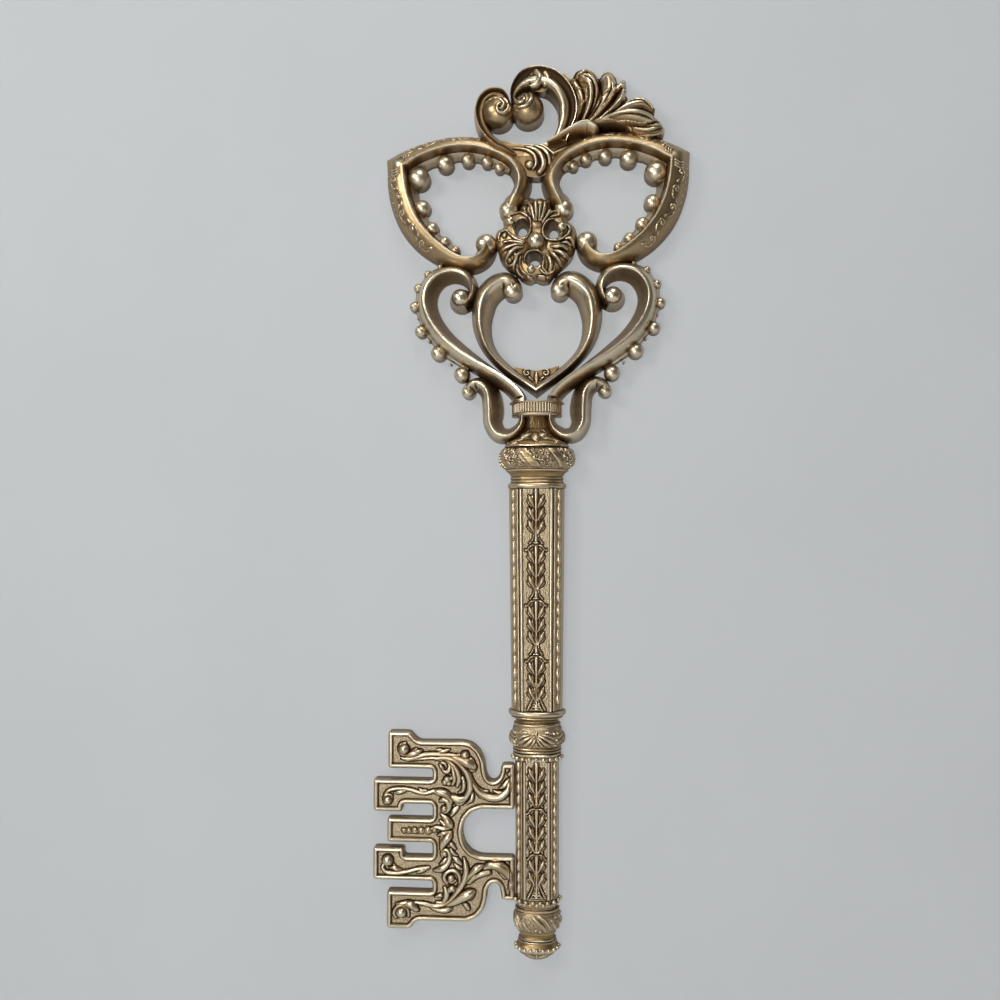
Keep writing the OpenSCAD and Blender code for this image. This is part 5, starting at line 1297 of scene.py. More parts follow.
def oval_line(w, d, z, n, lo=0, hi=180):
    """Line round the front of a band of half width w and depth d"""
    out = []
    for i in range(n + 1):
        a = math.radians(lo + (hi - lo) * i / n)
        c, s = math.cos(a), math.sin(a)
        out.append((w * math.copysign(abs(c) ** STRAP_POWER, c), -d * max(s, 0) ** STRAP_POWER, z))
    return out


def strap():
    """Reeded strap that flares to its upper edge"""
    core = loft("strap core", [oval_line(w, d, z, 72) for w, d, z in STRAP_CORE], 38)
    sizes = bpy.context.scene.wallkey_sizes
    reeds = along("reeds", oval_line(20.4, 21.8, -173.2, 160, 7, 173), "reeds", "warm gold",
                  Spacing=sizes.reed_pitch, Radius=sizes.reed_radius, Height=sizes.reed_height)
    return joined("binding_strap_reeded", [core, reeds])


def calyx():
    """Leaf cup over the bulb, with a leaf of three drops in its middle"""
    ribs = [[(x * 1.3, -181.6, 0.7, 0.6), (x * 1.7, -186.5, 0.7, 0.6), (x * 2.0, -190.5, 0.4, 0.3)]
            for x in (-4.4, -2.6, -0.9, 0.9, 2.6, 4.4)]
    strokes = both_sides(CALYX_LEAF) + ribs

    def bump(p):
        return carve(p, strokes, power=0.6) + carve(p, CALYX_LIP) - 0.5

    def trefoil(p):
        return 19.6 + np.clip(-194 - p[:, 1], 0, 9) * 0.62 + carve(p, CALYX_DROPS)
    tips = relief("tips", smooth(TREFOIL, 5, closed=True), trefoil, 0.35, back=14)
    return joined("neck_calyx_carved", [turned("calyx", CALYX, bump, 170, step=0.5, depth=1.14), tips])


def between(z, low, high, fade_low=1.0, fade_high=1.0):
    """Value of 1 between two heights that fades to 0 at both"""
    return np.clip((z - low) / fade_low, 0, 1) * np.clip((high - z) / fade_high, 0, 1)


def bulb():
    """Bulb with slanting bands and curls with berries between them"""
    bands, scrolls = [], []
    for k in range(-2, 3):
        a = BULB_START + BULB_PITCH * k
        bands.append([(a - 0.5, -206.0, 3.3, 1.7), (a + 7.5, -215, 3.5, 1.8), (a + 17, -226, 3.2, 1.6)])
        for i, (dx, z, r) in enumerate(BULB_CURLS):
            way = 1 if i % 2 else -1
            scrolls.append(spiral(a + dx, z, r, 0.7, 1.25, 200 + 70 * i, 0.85, 1.9, way))
            scrolls.append([(a + dx, z, 1.0, 2.0)])
            scrolls.append([(a + dx + way * 2.4, z - 1.4, 0.6, 1.4), (a + dx + way * 3.6, z - 3.6, 0.9, 1.7),
                            (a + dx + way * 2.6, z - 5.4, 0.5, 1.2)])
        scrolls += [[(a + dx, z, 1.05, 1.8)] for dx, z in BULB_BERRIES]

    def bump(p):
        ring = between(p[:, 1], -225.4, -206.9, 1.6, 0.8)
        return (np.maximum(carve(p, bands, power=0.16), carve(p, scrolls, 1.0)) - 0.6) * ring

    def ground(p):
        return 0.4 * (carve(p, bands, power=0.16) < 0.1)
    return turned("bulb_knop_carved", BULB, bump, 190, step=0.42, ground=ground)


def palmettes():
    """Spreading leaf band round the middle knop"""
    strokes = repeated(both_sides(PALMETTE_LEAF) + PALMETTE_STEM, (-PALMETTE_PITCH, 0, PALMETTE_PITCH))

    def bump(p):
        return (carve(p, strokes, power=0.7) - 0.5) * between(p[:, 1], -462.4, -447.0)

    def ground(p):
        return 0.7 * (carve(p, strokes) < 0.2) * (p[:, 1] > -462.4) * (p[:, 1] < -447.4)
    return turned("middle_knop_carved", KNOP, bump, 150, step=0.42, ground=ground)


def end_knop():
    """Lower knop with slanting leaf blades between pearls and curls"""
    strokes = repeated(END_LEAVES + [[berry] for berry in END_BERRIES], (-END_PITCH, 0, END_PITCH))

    def bump(p):
        return (carve(p, strokes, power=0.7) - 0.4) * between(p[:, 1], -618.6, -602.2, 1.2)

    def ground(p):
        return 0.7 * (carve(p, strokes) < 0.3) * (p[:, 1] > -617.6) * (p[:, 1] < -602.8)
    return turned("end_knop_carved", END_KNOP, bump, 140, step=0.42, ground=ground)


def finial_carving(p):
    """Small leaf under the pearls of the finial"""
    return carve(p, both_sides(FINIAL_LEAF) + FINIAL_STEM)


def teeth(p):
    """Row of small points under the pearls of the lower bead ring"""
    rows = [[(TEETH_PITCH * k, -594.6, 1.9, 0.8), (TEETH_PITCH * k, -596.6, 0.5, 0.5)] for k in range(-6, 7)]
    return carve(p, rows, power=0.8)


def ring_of_beads(name, r, z, bead_r, pitch, body, bump=None):
    """Turned ring with a row of beads let into it"""
    bead_r = bead_r * bpy.context.scene.wallkey_sizes.ring_beads
    ring = turned(name, body, bump, 110, step=0.6 if bump else None)
    line = [(r * math.cos(a), -max(bead_r, front_depth(r, a)), z)
            for a in np.linspace(math.pi * 1.02, math.pi * 1.98, 160)]
    beads = along(name + " beads", line, "beads", "bright pearl gold", Spacing=pitch * MM, Radius=bead_r * MM,
                  Segments=18)
    return joined(name, [ring, beads])


class WALLKEY_OT_neck(bpy.types.Operator):
    """Makes the reeded strap, the leaf cup, the banded bulb and the rings of the shaft"""
    bl_idname = "wallkey.neck"
    bl_label = "Neck, knops and rings"

    def execute(self, context):
        set_down(strap(), "warm gold", "gold_moulding", "binding_strap")
        set_down(calyx(), "antique gold", "gold_relief", "neck_calyx")
        set_down(bulb(), "stippled gold", "gold_relief", "bulb_knop", "bulb_bands")
        for outline, node_name in ((UPPER_RINGS, "upper_rings"), (COLLAR, "middle_collar")):
            set_down(turned(node_name + "_turned", smooth(outline, 3)),
                     "antique gold", "gold_moulding", node_name)
        set_down(palmettes(), "stippled gold", "gold_relief", "middle_knop")
        set_down(ring_of_beads("upper_bead_ring_beaded", 20.9, -471.9, 1.95, 5.7, UPPER_BEAD_RING),
                 "bright pearl gold", "gold_bead", "upper_bead_ring")
        set_down(ring_of_beads("lower_bead_ring_beaded", 19.4, -592.2, 1.8, TEETH_PITCH, LOWER_BEAD_RING,
                               teeth),
                 "bright pearl gold", "gold_bead", "lower_bead_ring")
        set_down(end_knop(), "stippled gold", "gold_relief", "end_knop")
        ob = ring_of_beads("finial_button_beaded", 18.3, -632.8, 1.9, 5.2, smooth(FINIAL, 3), finial_carving)
        set_down(ob, "antique gold", "gold_moulding", "finial_button")
        return {"FINISHED"}


# Shafts

BORE_DEPTH = 0.8
MOAT = 0.7
SHAFT_SECTION = [
    (1, 0), (1, 0.20), (0.995, 0.34), (0.98, 0.40), (0.95, 0.455), (0.925, 0.49), (0.90, 0.53),
    (0.89, 0.55), (0.80, 0.70), (0.715, 0.845), (0.70, 0.868), (0.69, 0.90), (0.675, 0.925), (0.66, 0.925),
    (0.648, 0.905), (0.64, 0.88), (0.628, 0.875), (0.615, 0.90), (0.605, 0.94), (0.585, 0.98), (0.56, 0.998),
    (0.535, 1), (0.51, 0.99), (0.49, 0.97), (0.478, 0.94), (0.47, 0.915), (0.46, 0.905)]
STRIP_PLACE, STRIP_DEPTH = 0.815, 0.70
HUSK_STRETCH = 0.235
PANEL_HALF, PANEL_DEPTH = 0.468, 0.912
LEAF_PITCH, LEAST_KNOT = 10.8, 0.4


def shaft_body(name, z0, z1, w0, w1, depth, bore):
    """Tapered shaft with round fillets, side strips, a sunk front and a round channel along its back"""
    right = [(x * w0, v * depth) for x, v in SHAFT_SECTION]
    outline = np.array(right + [(-x, v) for x, v in reversed(right)])
    channel = np.array([(-bore * math.cos(a), bore * BORE_DEPTH * math.sin(a))
                        for a in np.linspace(0, math.pi, 25)])
    rings = []
    for z in np.linspace(z0, z1, 9):
        k = 1 + (w1 / w0 - 1) * (z - z0) / (z1 - z0)
        ring = np.vstack([outline * k, channel])
        rings.append(np.stack([ring[:, 0], -ring[:, 1], np.full(len(ring), z)], axis=1))
    return loft(name, rings, 40)


def chain(name, z0, z1, w0, w1, depth, pitch):
    """Strips of long husks with a small bead between two, along both slopes of a shaft"""
    parts = []
    k = w1 / w0
    sizes = bpy.context.scene.wallkey_sizes
    for s in (-1, 1):
        a = np.array((s * w0 * STRIP_PLACE, -depth * STRIP_DEPTH, z0))
        b = np.array((s * w0 * STRIP_PLACE * k, -depth * STRIP_DEPTH * k, z1))
        d = (b - a) / np.linalg.norm(b - a)
        n = int(np.linalg.norm(b - a) // pitch)
        for start, radius, stretch in ((pitch * 0.5, sizes.husk_radius, pitch * HUSK_STRETCH),
                                       (pitch, sizes.husk_bead, 1.0)):
            line = [a + d * start, a + d * (start + pitch * (n - 1))]
            parts.append(along(name, line, "beads", "antique gold", Spacing=pitch * MM * 0.999,
                               Radius=radius, Stretch=stretch, Segments=12))
    return joined(name, parts)


def raised_by(strokes, z):
    """Strokes given from a height of 0, moved up to a height"""
    return [[(x, z + up, r, h) for x, up, r, h in stroke] for stroke in strokes]


VINE_LEAF = [
    [(1.5, -7.4, 0.5, 0.8), (2.8, -4.4, 1.2, 1.7), (4.6, -1, 2, 2.5), (5.7, 1.8, 1.1, 1.6),
     (6.3, 3.4, 0.4, 0.7)],
    [(3, -6.6, 0.4, 0.6), (5.4, -4.6, 0.8, 1.1), (7, -2, 0.7, 1)],
    [(2, -2, 0.4, 0.6), (2.9, 1.2, 0.6, 0.9), (2.6, 3.6, 0.4, 0.6)]]
VINE_FOOT = [[(0.5, 17, 0.5, 0.8), (1.6, 9, 0.6, 1.1), (3.0, 4, 0.7, 1.3), (5.2, 0.8, 0.9, 1.5)]]
VINE_CUP = [[(1.8, -0.6, 1.0, 1.5), (4.8, -1.6, 1.0, 1.7), (7.0, -4.4, 0.8, 1.4), (8.6, -5.4, 0.7, 1.2),
             (9.2, -4, 0.5, 0.9)]]
VINE_CUP_RINGS = [[(-2.0, up, 0.65, 2.0), (2.0, up, 0.65, 2.0)] for up in (1.2, -0.5)]
VINE_END = [[(0.9, 24, 0.7, 1.0), (2.6, 12, 0.8, 1.3), (7.4, 1.2, 1.0, 1.3)]]
VINE_END_RINGS = [[(-w, up, 0.75, 1.3), (w, up, 0.75, 1.3)] for w, up in ((2.0, 5.6), (3.4, 3.5), (4.9, 1.3))]


def vine_strokes(z0, z1, knot):
    """Running leaves up both sides of a stem that flares to a cup at every knot"""
    half = []
    strokes = []
    top = z0
    while top - z1 > knot * LEAST_KNOT:
        foot = top - knot if top - knot - z1 > knot * LEAST_KNOT else z1
        last = foot == z1
        strokes.append([(0, top - 1.5, 1.9, 1.2), (0, top - 9, 1.4, 1.3), (0, (top + foot) / 2, 1.0, 1.2),
                        (0, foot + 11, 1.0, 1.3), (0, foot + 3.2, 1.9, 1.6)])
        half += raised_by(VINE_FOOT, foot)
        z = top - 8.5
        while z - 7 > foot + (2 if last else 1):
            half += raised_by(VINE_LEAF, z)
            z -= LEAF_PITCH
        half += raised_by(VINE_END if last else VINE_CUP, foot)
        strokes += raised_by(VINE_END_RINGS if last else VINE_CUP_RINGS, foot)
        top = foot
    return both_sides(half) + strokes


def vine(name, z0, z1, w0, w1, depth, knot):
    """Stippled panel with the running leaves, let into the front of a shaft"""
    k = w1 / w0
    outline = [(-w0 * PANEL_HALF * k, z1), (w0 * PANEL_HALF * k, z1), (w0 * PANEL_HALF, z0),
               (-w0 * PANEL_HALF, z0)]
    strokes = vine_strokes(z0, z1, knot)
    moat = [[(r[0], r[1], r[2] + MOAT) for r in stroke] for stroke in strokes]

    def height(p):
        t = np.clip((p[:, 1] - z0) / (z1 - z0), 0, 1)
        raised = carve(p, strokes, power=0.62)
        sunk = 0.5 * np.clip(carve(p, moat), 0, 1) * (raised < 0.05)
        return depth * PANEL_DEPTH * (1 + (k - 1) * t) + raised * 1.25 - sunk
    return relief(name, outline, height, 0.5, back=depth * 0.8, ground=lambda p: 1.0 * (carve(p, moat) < 0.1))


class WALLKEY_OT_shafts(bpy.types.Operator):
    """Makes the two shafts with their leaf panels and side chains"""
    bl_idname = "wallkey.shafts"
    bl_label = "Shafts"

    def execute(self, context):
        for word, size, knot, bore, pitch in (
                ("upper", (UPPER_TOP, UPPER_END, 24, 21.8, 22.0), 47.0, 15.3, 10.8),
                ("lower", (LOWER_TOP, LOWER_END, 18.8, 18.4, 18.4), 38.4, 12.3, 9.4)):
            ob = shaft_body(word + "_shaft_fluted", *size, bore)
            set_down(ob, "antique gold", "gold_moulding", word + "_shaft")
            ob = vine(word + "_vine_carved", *size, knot)
            set_down(ob, "stippled gold", "gold_relief", word + "_vine")
            ob = chain(word + "_rope_strips_husks", *size, pitch)
            set_down(ob, "antique gold", "gold_bead", word + "_rope_strips")
        return {"FINISHED"}


# Bit

BIT_BACK, BIT_FIELD = 0.2, 8.0
BIT_RIM = [(0, 7.6), (0.6, 8.8), (1.3, 9.7), (2.0, 10.0), (3.0, 10.0), (3.5, 9.5), (3.8, 8.8), (4.1, 8.1),
           (4.5, 8)]
BIT_EDGE = [
    (-19.1, -477.8), (-30.2, -477.8), (-31.4, -486.4), (-34, -491), (-37.8, -492.8), (-41.4, -490.6),
    (-43.4, -486), (-44.8, -475), (-49, -466.4), (-56, -460.4), (-64, -458.8), (-100.6, -459.2),
    (-104.6, -457), (-109.4, -451.4), (-128.4, -451.4), (-128.4, -483.2), (-89.8, -483.2), (-89.8, -492.4),
    (-141.2, -492.4), (-141.2, -520.4), (-116, -520.4), (-116, -513.6), (-89.8, -513.6), (-89.8, -525.6),
    (-129.2, -525.6), (-129.2, -546.4), (-89.8, -546.4), (-89.8, -558.2), (-114.6, -558.2), (-114.6, -551),
    (-141.4, -551), (-141.4, -579), (-89.8, -579), (-89.8, -588), (-129.4, -588), (-129.4, -620.4),
    (-109, -620.4), (-104.6, -614.6), (-100.6, -613), (-60, -613), (-51.6, -609.4), (-45.6, -602.6),
    (-43, -594), (-42.2, -585.4), (-39.6, -580.6), (-36, -579.2), (-32.6, -581), (-31, -585.6),
    (-30.2, -593.6), (-19.1, -593.6), (-19.1, -556.4), (-48, -556.4), (-56, -553.4), (-61.6, -547),
    (-63.8, -539), (-63.8, -534), (-61.6, -526), (-56, -519.6), (-48, -516.6), (-19.1, -516.6)]
BIT_PEARLS = [(-114.4, -536.5, 2.2), (-110.0, -536.5, 2.4), (-105.0, -536.3, 2.7), (-99.4, -536, 3.0),
              (-93.4, -535.7, 3.2), (-88, -535.4, 2.2)]
WIDER = 1.4
BIT_CARVING = [
    [(-114.5, -466.5, 3.3)],
    [(-111.5, -467.5, 0.8), (-112, -471, 1.2), (-115.5, -471, 1.4), (-118, -468, 1.3),
     (-117.5, -463.5, 1.2), (-113.5, -461.5, 0.9)],
    [(-116.5, -474.5, 0.8), (-111.5, -475, 1.4), (-104.5, -473.5, 1.6), (-97, -471, 1.5),
     (-89, -470.5, 1.4), (-81, -471, 1.3), (-74.5, -471, 1.2), (-67.5, -472, 1)],
    [(-111.5, -472, 1.4), (-106.5, -470.5, 2.2), (-102.5, -469, 1.8), (-99, -467.5, 0.6)],
    [(-108.5, -469, 1), (-105.5, -468, 1.2), (-103.5, -466, 0.6)],
    [(-108.5, -476, 0.8), (-102, -475, 0.9), (-93, -474, 1), (-86, -474, 1), (-81, -476.5, 0.9)],
    [(-85, -469, 0.6), (-80.5, -468, 1.2), (-77.5, -467, 1), (-75, -466.5, 0.5)],
    [(-86, -467, 0.5), (-83, -466.5, 0.8), (-80.5, -466.5, 0.4)],
    [(-61.5, -471, 2.7)],
    [(-71.5, -471.5, 0.8), (-66.5, -471, 0.9), (-62.5, -473, 1), (-59.5, -475, 1.2)],
    [(-71.5, -473, 1.4), (-65.5, -475, 2.5), (-59.5, -477, 3.3), (-55, -480, 2.4), (-52.5, -482, 0.8)],
    [(-59.5, -474, 1.2), (-56.5, -475, 1.8), (-54.5, -478, 1.4)],
    [(-59.5, -482.5, 0.8), (-56, -483.5, 1.2), (-53, -484, 0.6)],
    [(-87, -474.5, 1), (-81, -473.5, 1.4), (-73.5, -474.5, 1.6), (-67.5, -477.5, 1.8), (-62, -483, 2),
     (-58.5, -488.5, 2.2), (-57, -495.5, 2.2), (-58, -502, 2), (-61.5, -507, 1.6)],
    [(-81, -474.5, 0.8), (-75.5, -476.5, 1.2), (-70.5, -481, 1.6), (-67.5, -487, 1.8),
     (-67, -492.5, 1.6), (-68.5, -497.5, 1)],
    [(-77.5, -477.5, 0.6), (-73, -481, 1.2), (-71, -487, 1.6), (-70.5, -491.5, 1.4), (-72.5, -496.5, 0.8)],
    [(-63.5, -490.5, 1.2), (-62.5, -495.5, 1.4), (-63.5, -501, 1.2), (-66.5, -503, 0.8)],
    [(-75.5, -478.5, 1), (-75, -482, 1.4), (-77, -485.5, 1.4), (-80, -485, 1), (-81, -483, 0.6)],
    [(-82, -477.5, 0.8), (-79, -478.5, 1), (-77.5, -481, 0.8)],
    [(-83, -479.5, 0.8), (-82, -481.5, 1), (-80.5, -482.5, 0.6)],
    [(-77, -492, 2.2)],
    [(-79, -494.5, 1.8)],
    [(-75.5, -495, 1.8)],
    [(-73.5, -491, 1.2)],
    [(-75.5, -505.5, 0.8), (-71, -507.5, 2.2), (-66.5, -509, 2.5), (-61.5, -507.5, 1.8), (-57.5, -503, 1)],
    [(-69.5, -512, 1), (-65.5, -512, 1.6), (-62, -510, 1)],
    [(-59.5, -512, 0.6), (-56, -508.5, 1.4), (-55, -503, 1)],
    [(-59.5, -485, 1.4), (-56.5, -491.5, 1.6), (-53, -497.5, 1.8), (-48, -503, 2), (-40, -506.5, 2.4),
     (-31.5, -506, 2.5), (-26, -501.5, 2.2), (-24, -495.5, 1.6), (-24, -491, 0.8)],
    [(-57.5, -489.5, 0.8), (-53, -496, 1), (-47, -501, 1.2), (-42, -501.5, 0.8)],
    [(-31.5, -498.5, 0.6), (-28, -496.5, 1.6), (-25, -492.5, 1.4)],
    [(-36.5, -501, 0.6), (-32.5, -502.5, 1.4), (-28.5, -502.5, 1.2)],
    [(-23.5, -486.5, 1.3)],
    [(-50, -504, 1), (-46.5, -506.5, 1.2), (-43.5, -505.5, 0.8)],
    [(-128.5, -510.5, 2.7)],
    [(-125, -510, 0.6), (-126, -506.5, 0.8), (-130, -506.5, 1), (-132, -509.5, 0.9), (-131, -513.5, 0.7)],
    [(-131.5, -506.5, 0.8), (-128.5, -503, 1), (-123, -501, 1.1), (-115.5, -500.5, 1.1),
     (-108.5, -501.5, 1.1), (-101.5, -503.5, 1.2), (-95, -504, 1.2), (-89, -502, 1.2)],
    [(-123, -504.5, 0.6), (-118, -503.5, 1.4), (-113.5, -502, 1)],
    [(-101.5, -500.5, 0.5), (-99, -502, 1.2), (-95, -502, 0.8)],
    [(-88, -502.5, 1.2), (-83, -503, 2.4), (-78, -504.5, 2.5), (-74.5, -509, 2), (-74, -513, 1.2)],
    [(-83, -510.5, 0.8), (-80, -509, 1.8), (-76, -511, 2.2), (-75.5, -516, 1.6), (-78, -520, 1),
     (-81.5, -519.5, 0.6)],
    [(-79.5, -517, 2)],
    [(-82, -522, 0.8), (-78, -525.5, 2), (-75, -529.5, 2.4), (-73, -533, 1)],
    [(-83, -527.5, 0.6), (-79, -530.5, 1.4), (-75, -532.5, 1)],
    [(-73.5, -522.5, 1), (-71, -519.5, 1.4), (-67.5, -516, 0.8)],
    [(-73, -519, 0.8), (-70.5, -517, 1), (-67.5, -514.5, 0.6)],
    [(-91, -534.5, 0.6), (-86, -533, 1.2), (-80, -534, 1.6), (-74.5, -533, 1)],
    [(-85, -540, 0.6), (-80, -538, 1.8), (-75, -537, 1.2)],
    [(-82, -552, 1), (-80, -546, 2.4), (-76, -541, 2.5), (-73.5, -536.5, 0.8)],
    [(-83, -544, 0.6), (-81, -541, 1.4), (-78, -539, 0.8)],
    [(-75, -546, 0.8), (-73, -547.5, 1.4), (-70, -551, 0.8)],
    [(-74, -551.5, 0.8), (-71.5, -555, 1.2), (-68.5, -556.5, 0.6)],
    [(-79, -555.5, 1.8)],
    [(-81, -558.5, 0.6), (-81.5, -555, 1), (-79, -552, 1.2), (-75.5, -554, 1.4), (-75, -559, 1.6),
     (-77, -564, 1.8), (-82, -568.5, 2), (-88, -570, 0.8)],
    [(-83, -564.5, 0.6), (-80, -562.5, 1.4), (-78, -560, 1)],
    [(-72, -558, 0.8), (-68.5, -560.5, 1.8), (-65, -564, 1)],
    [(-70.5, -564, 0.8), (-66.5, -567, 1.4), (-63.5, -568.5, 0.6)],
    [(-73.5, -576, 2.2)],
    [(-77, -580.5, 1), (-79.5, -576.5, 1.2), (-78.5, -572.5, 1.2), (-73.5, -569.5, 1.2),
     (-68.5, -571, 1.3), (-66, -575.5, 1.3), (-66, -581, 1.2), (-68.5, -586, 0.8)],
    [(-75.5, -578.5, 0.8), (-73, -579.5, 1), (-70, -578, 0.8)],
    [(-62.5, -559, 0.8), (-61, -564.5, 1.6), (-60.5, -571.5, 2), (-62.5, -578, 2), (-66.5, -585, 1.8),
     (-71.5, -592, 1.6), (-77, -597, 1.4), (-83, -599.5, 1.4), (-91, -601, 1)],
    [(-62.5, -582, 1), (-59.5, -576, 1.6), (-55.5, -571.5, 2), (-51, -567, 2.4), (-46, -565, 1)],
    [(-59.5, -580, 0.8), (-55.5, -576, 1.6), (-52.5, -572.5, 1.6), (-50.5, -570.5, 0.6)],
    [(-57.5, -580, 0.8), (-53, -575, 1.4), (-47, -571.5, 2), (-41, -570, 1.6)],
    [(-45, -567, 1.2), (-40, -564, 2.5), (-33.5, -564, 3.3), (-27.5, -567.5, 3.1), (-23.5, -573, 2.2),
     (-22, -576.5, 0.8)],
    [(-42, -564, 0.8), (-38, -562.5, 1.2), (-32.5, -562, 0.8)],
    [(-33.5, -568, 0.8), (-29.5, -571, 1.6), (-27, -575, 0.8)],
    [(-23, -576, 0.6), (-23, -580, 1), (-22.5, -583.5, 1.4)],
    [(-78, -599.5, 1), (-71.5, -596.5, 2.2), (-64.5, -592.5, 2.9), (-58.5, -589, 3.1), (-54, -587, 1.4)],
    [(-63.5, -596.5, 0.8), (-60.5, -598.5, 1.6), (-58.5, -602, 1)],
    [(-57.5, -592.5, 1.4), (-55, -590, 1.4), (-54, -587.5, 0.8)],
    [(-63.5, -589, 0.8), (-67.5, -592, 1), (-71.5, -594.5, 1)],
    [(-86, -597, 0.8), (-81, -597, 1.4), (-78, -593, 1.8), (-77.5, -588, 1.8), (-79, -584.5, 1)],
    [(-87, -592.5, 0.6), (-83, -591, 1.2), (-81, -592, 0.6)],
    [(-77, -589, 0.8), (-73, -585, 2), (-70.5, -587, 1.4), (-71.5, -592, 0.8)],
    [(-104.5, -597.5, 1), (-96.5, -598.5, 1.4), (-89, -600, 1.2), (-83, -598.5, 0.8)],
    [(-91, -602, 0.6), (-83, -603.5, 1.6), (-77, -603, 1.8), (-73, -601.5, 0.6)],
    [(-83, -603, 0.8), (-81, -604.5, 1), (-78, -604.5, 0.5)],
    [(-116.5, -606, 3.5)],
    [(-110.5, -609.5, 0.8), (-111.5, -603.5, 1.2), (-116.5, -600.5, 1.4), (-121, -603, 1.4),
     (-123, -607.5, 1.2), (-121, -611, 0.8)],
    [(-113.5, -599, 1.4), (-108.5, -599.5, 2.5), (-104.5, -602.5, 2), (-102, -604.5, 0.8)],
    [(-121, -599.5, 0.6), (-116.5, -599, 1.4), (-111.5, -598, 1.4), (-104.5, -598, 0.8)],
    [(-128.5, -562, 3.5)],
    [(-132, -565.5, 0.8), (-133, -568.5, 1.2), (-130, -572, 1.4), (-124.5, -573, 1.4),
     (-117.5, -572.5, 1.4), (-109.5, -571, 1.2), (-102.5, -569, 1.2), (-93, -567.5, 1)],
    [(-127, -568.5, 0.6), (-123, -568.5, 1.4), (-120, -570, 1.4), (-116.5, -570, 0.6)],
    [(-102.5, -572, 0.8), (-99, -570, 1.6), (-95, -569, 0.8)],
    [(-124, -564.5, 0.5), (-122, -568, 1), (-118.5, -569.5, 0.8)]]


def eased(points, r, n=4):
    """Closed outline with its corners rounded"""
    p = np.array(points, float)
    out = []
    for a, b, c in zip(np.roll(p, 1, axis=0), p, np.roll(p, -1, axis=0)):
        u, v = a - b, c - b
        lu, lv = np.linalg.norm(u), np.linalg.norm(v)
        k = min(r, lu * 0.45, lv * 0.45)
        s, e = b + u / lu * k, b + v / lv * k
        for t in np.linspace(0, 1, n + 1):
            out.append((1 - t) ** 2 * s + 2 * t * (1 - t) * b + t * t * e)
    return np.array(out)


def bit_plate():
    """Toothed plate: a bright rim round a sunk, stippled and carved field"""
    outline = eased(BIT_EDGE, 2.8)
    strokes = [[(r[0], r[1], r[2] * WIDER) for r in stroke] for stroke in BIT_CARVING]
    moat = [[(r[0], r[1], r[2] * WIDER + MOAT) for r in stroke] for stroke in BIT_CARVING]
    moat += [[(x, z, r + 0.9)] for x, z, r in BIT_PEARLS]
    edge = dense(outline, 0.4)
    reach, level = zip(*BIT_RIM)

    def height(p):
        d = away(p, edge)
        base = np.interp(d, reach, level)
        cut = np.clip((d - 1.2) / 1.2, 0, 1)
        raised = carve(p, strokes, 1.2)
        sunk = 0.6 * np.clip(carve(p, moat), 0, 1) * (raised < 0.05) * (d > 4.3)
        return base - sunk + raised * cut * np.where(base > 8.2, 0.5, 1.0)

    def ground(p):
        return 1.0 * (away(p, edge) > 4.9) * (carve(p, moat) < 0.1)
    return relief("bit_plate_carved", outline, height, 0.5, back=BIT_BACK, ground=ground)


class WALLKEY_OT_bit(bpy.types.Operator):
    """Makes the toothed bit with its carved field and its row of pearls"""
    bl_idname = "wallkey.bit"
    bl_label = "Bit"

    def execute(self, context):
        set_down(bit_plate(), "stippled gold", "gold_relief", "bit_plate", "bit_foliage")
        pearls = [ball(x, z, r, BIT_FIELD + 0.2, foot=r * 0.9, sides=24) for x, z, r in BIT_PEARLS]
        set_down(joined("bit_pearl_row_gilt", pearls), "bright pearl gold", "gold_bead", "bit_pearl_row")
        return {"FINISHED"}


class WALLKEY_OT_fixings(bpy.types.Operator):
    """Gives the hanger, its screws and the hidden dowels their metal"""
    bl_idname = "wallkey.fixings"
    bl_label = "Hanger and dowels"

    def execute(self, context):
        for name in ("hanger_plate", "hanger_screws", "scroll_dowels"):
            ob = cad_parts[name]
            if isinstance(ob, dict):
                ob = ob["object"]
            finish = finishes()["antique gold" if name == "scroll_dowels" else "zinc plated steel"]
            for slot in ob.material_slots:
                slot.material = finish
        return {"FINISHED"}


# Settings, stage and panel

BOARD_Y, FLOOR_Z = 0.0012, -0.86
OWN_LIGHT = 0.58
LAMPS = (
    ("side lamp", "key_power", (-0.85, -0.95, 0.35), (0, 0, -0.28), 0.42, (1.0, 0.985, 0.96)),
    ("top lamp", "top_power", (0.1, -0.75, 1.0), (0, 0, -0.25), 0.6, (1.0, 0.99, 0.97)),
    ("front lamp", "front_power", (-0.25, -1.55, 0.30), (0, 0, -0.28), 0.7, (1.0, 0.99, 0.97)),
    ("shaft lamp", "shaft_power", (-0.42, -1.4, -0.42), (0, 0, -0.42), 0.5, (1.0, 0.98, 0.95)),
    ("low lamp", "fill_power", (0.6, -0.7, -1.0), (0, 0, -0.4), 0.7, (1.0, 0.72, 0.55)))
CAMERA_PLACE = (0.032845, -0.842, -0.269012)
CAMERA_TILT, CAMERA_PAN = 91.181, 4.420


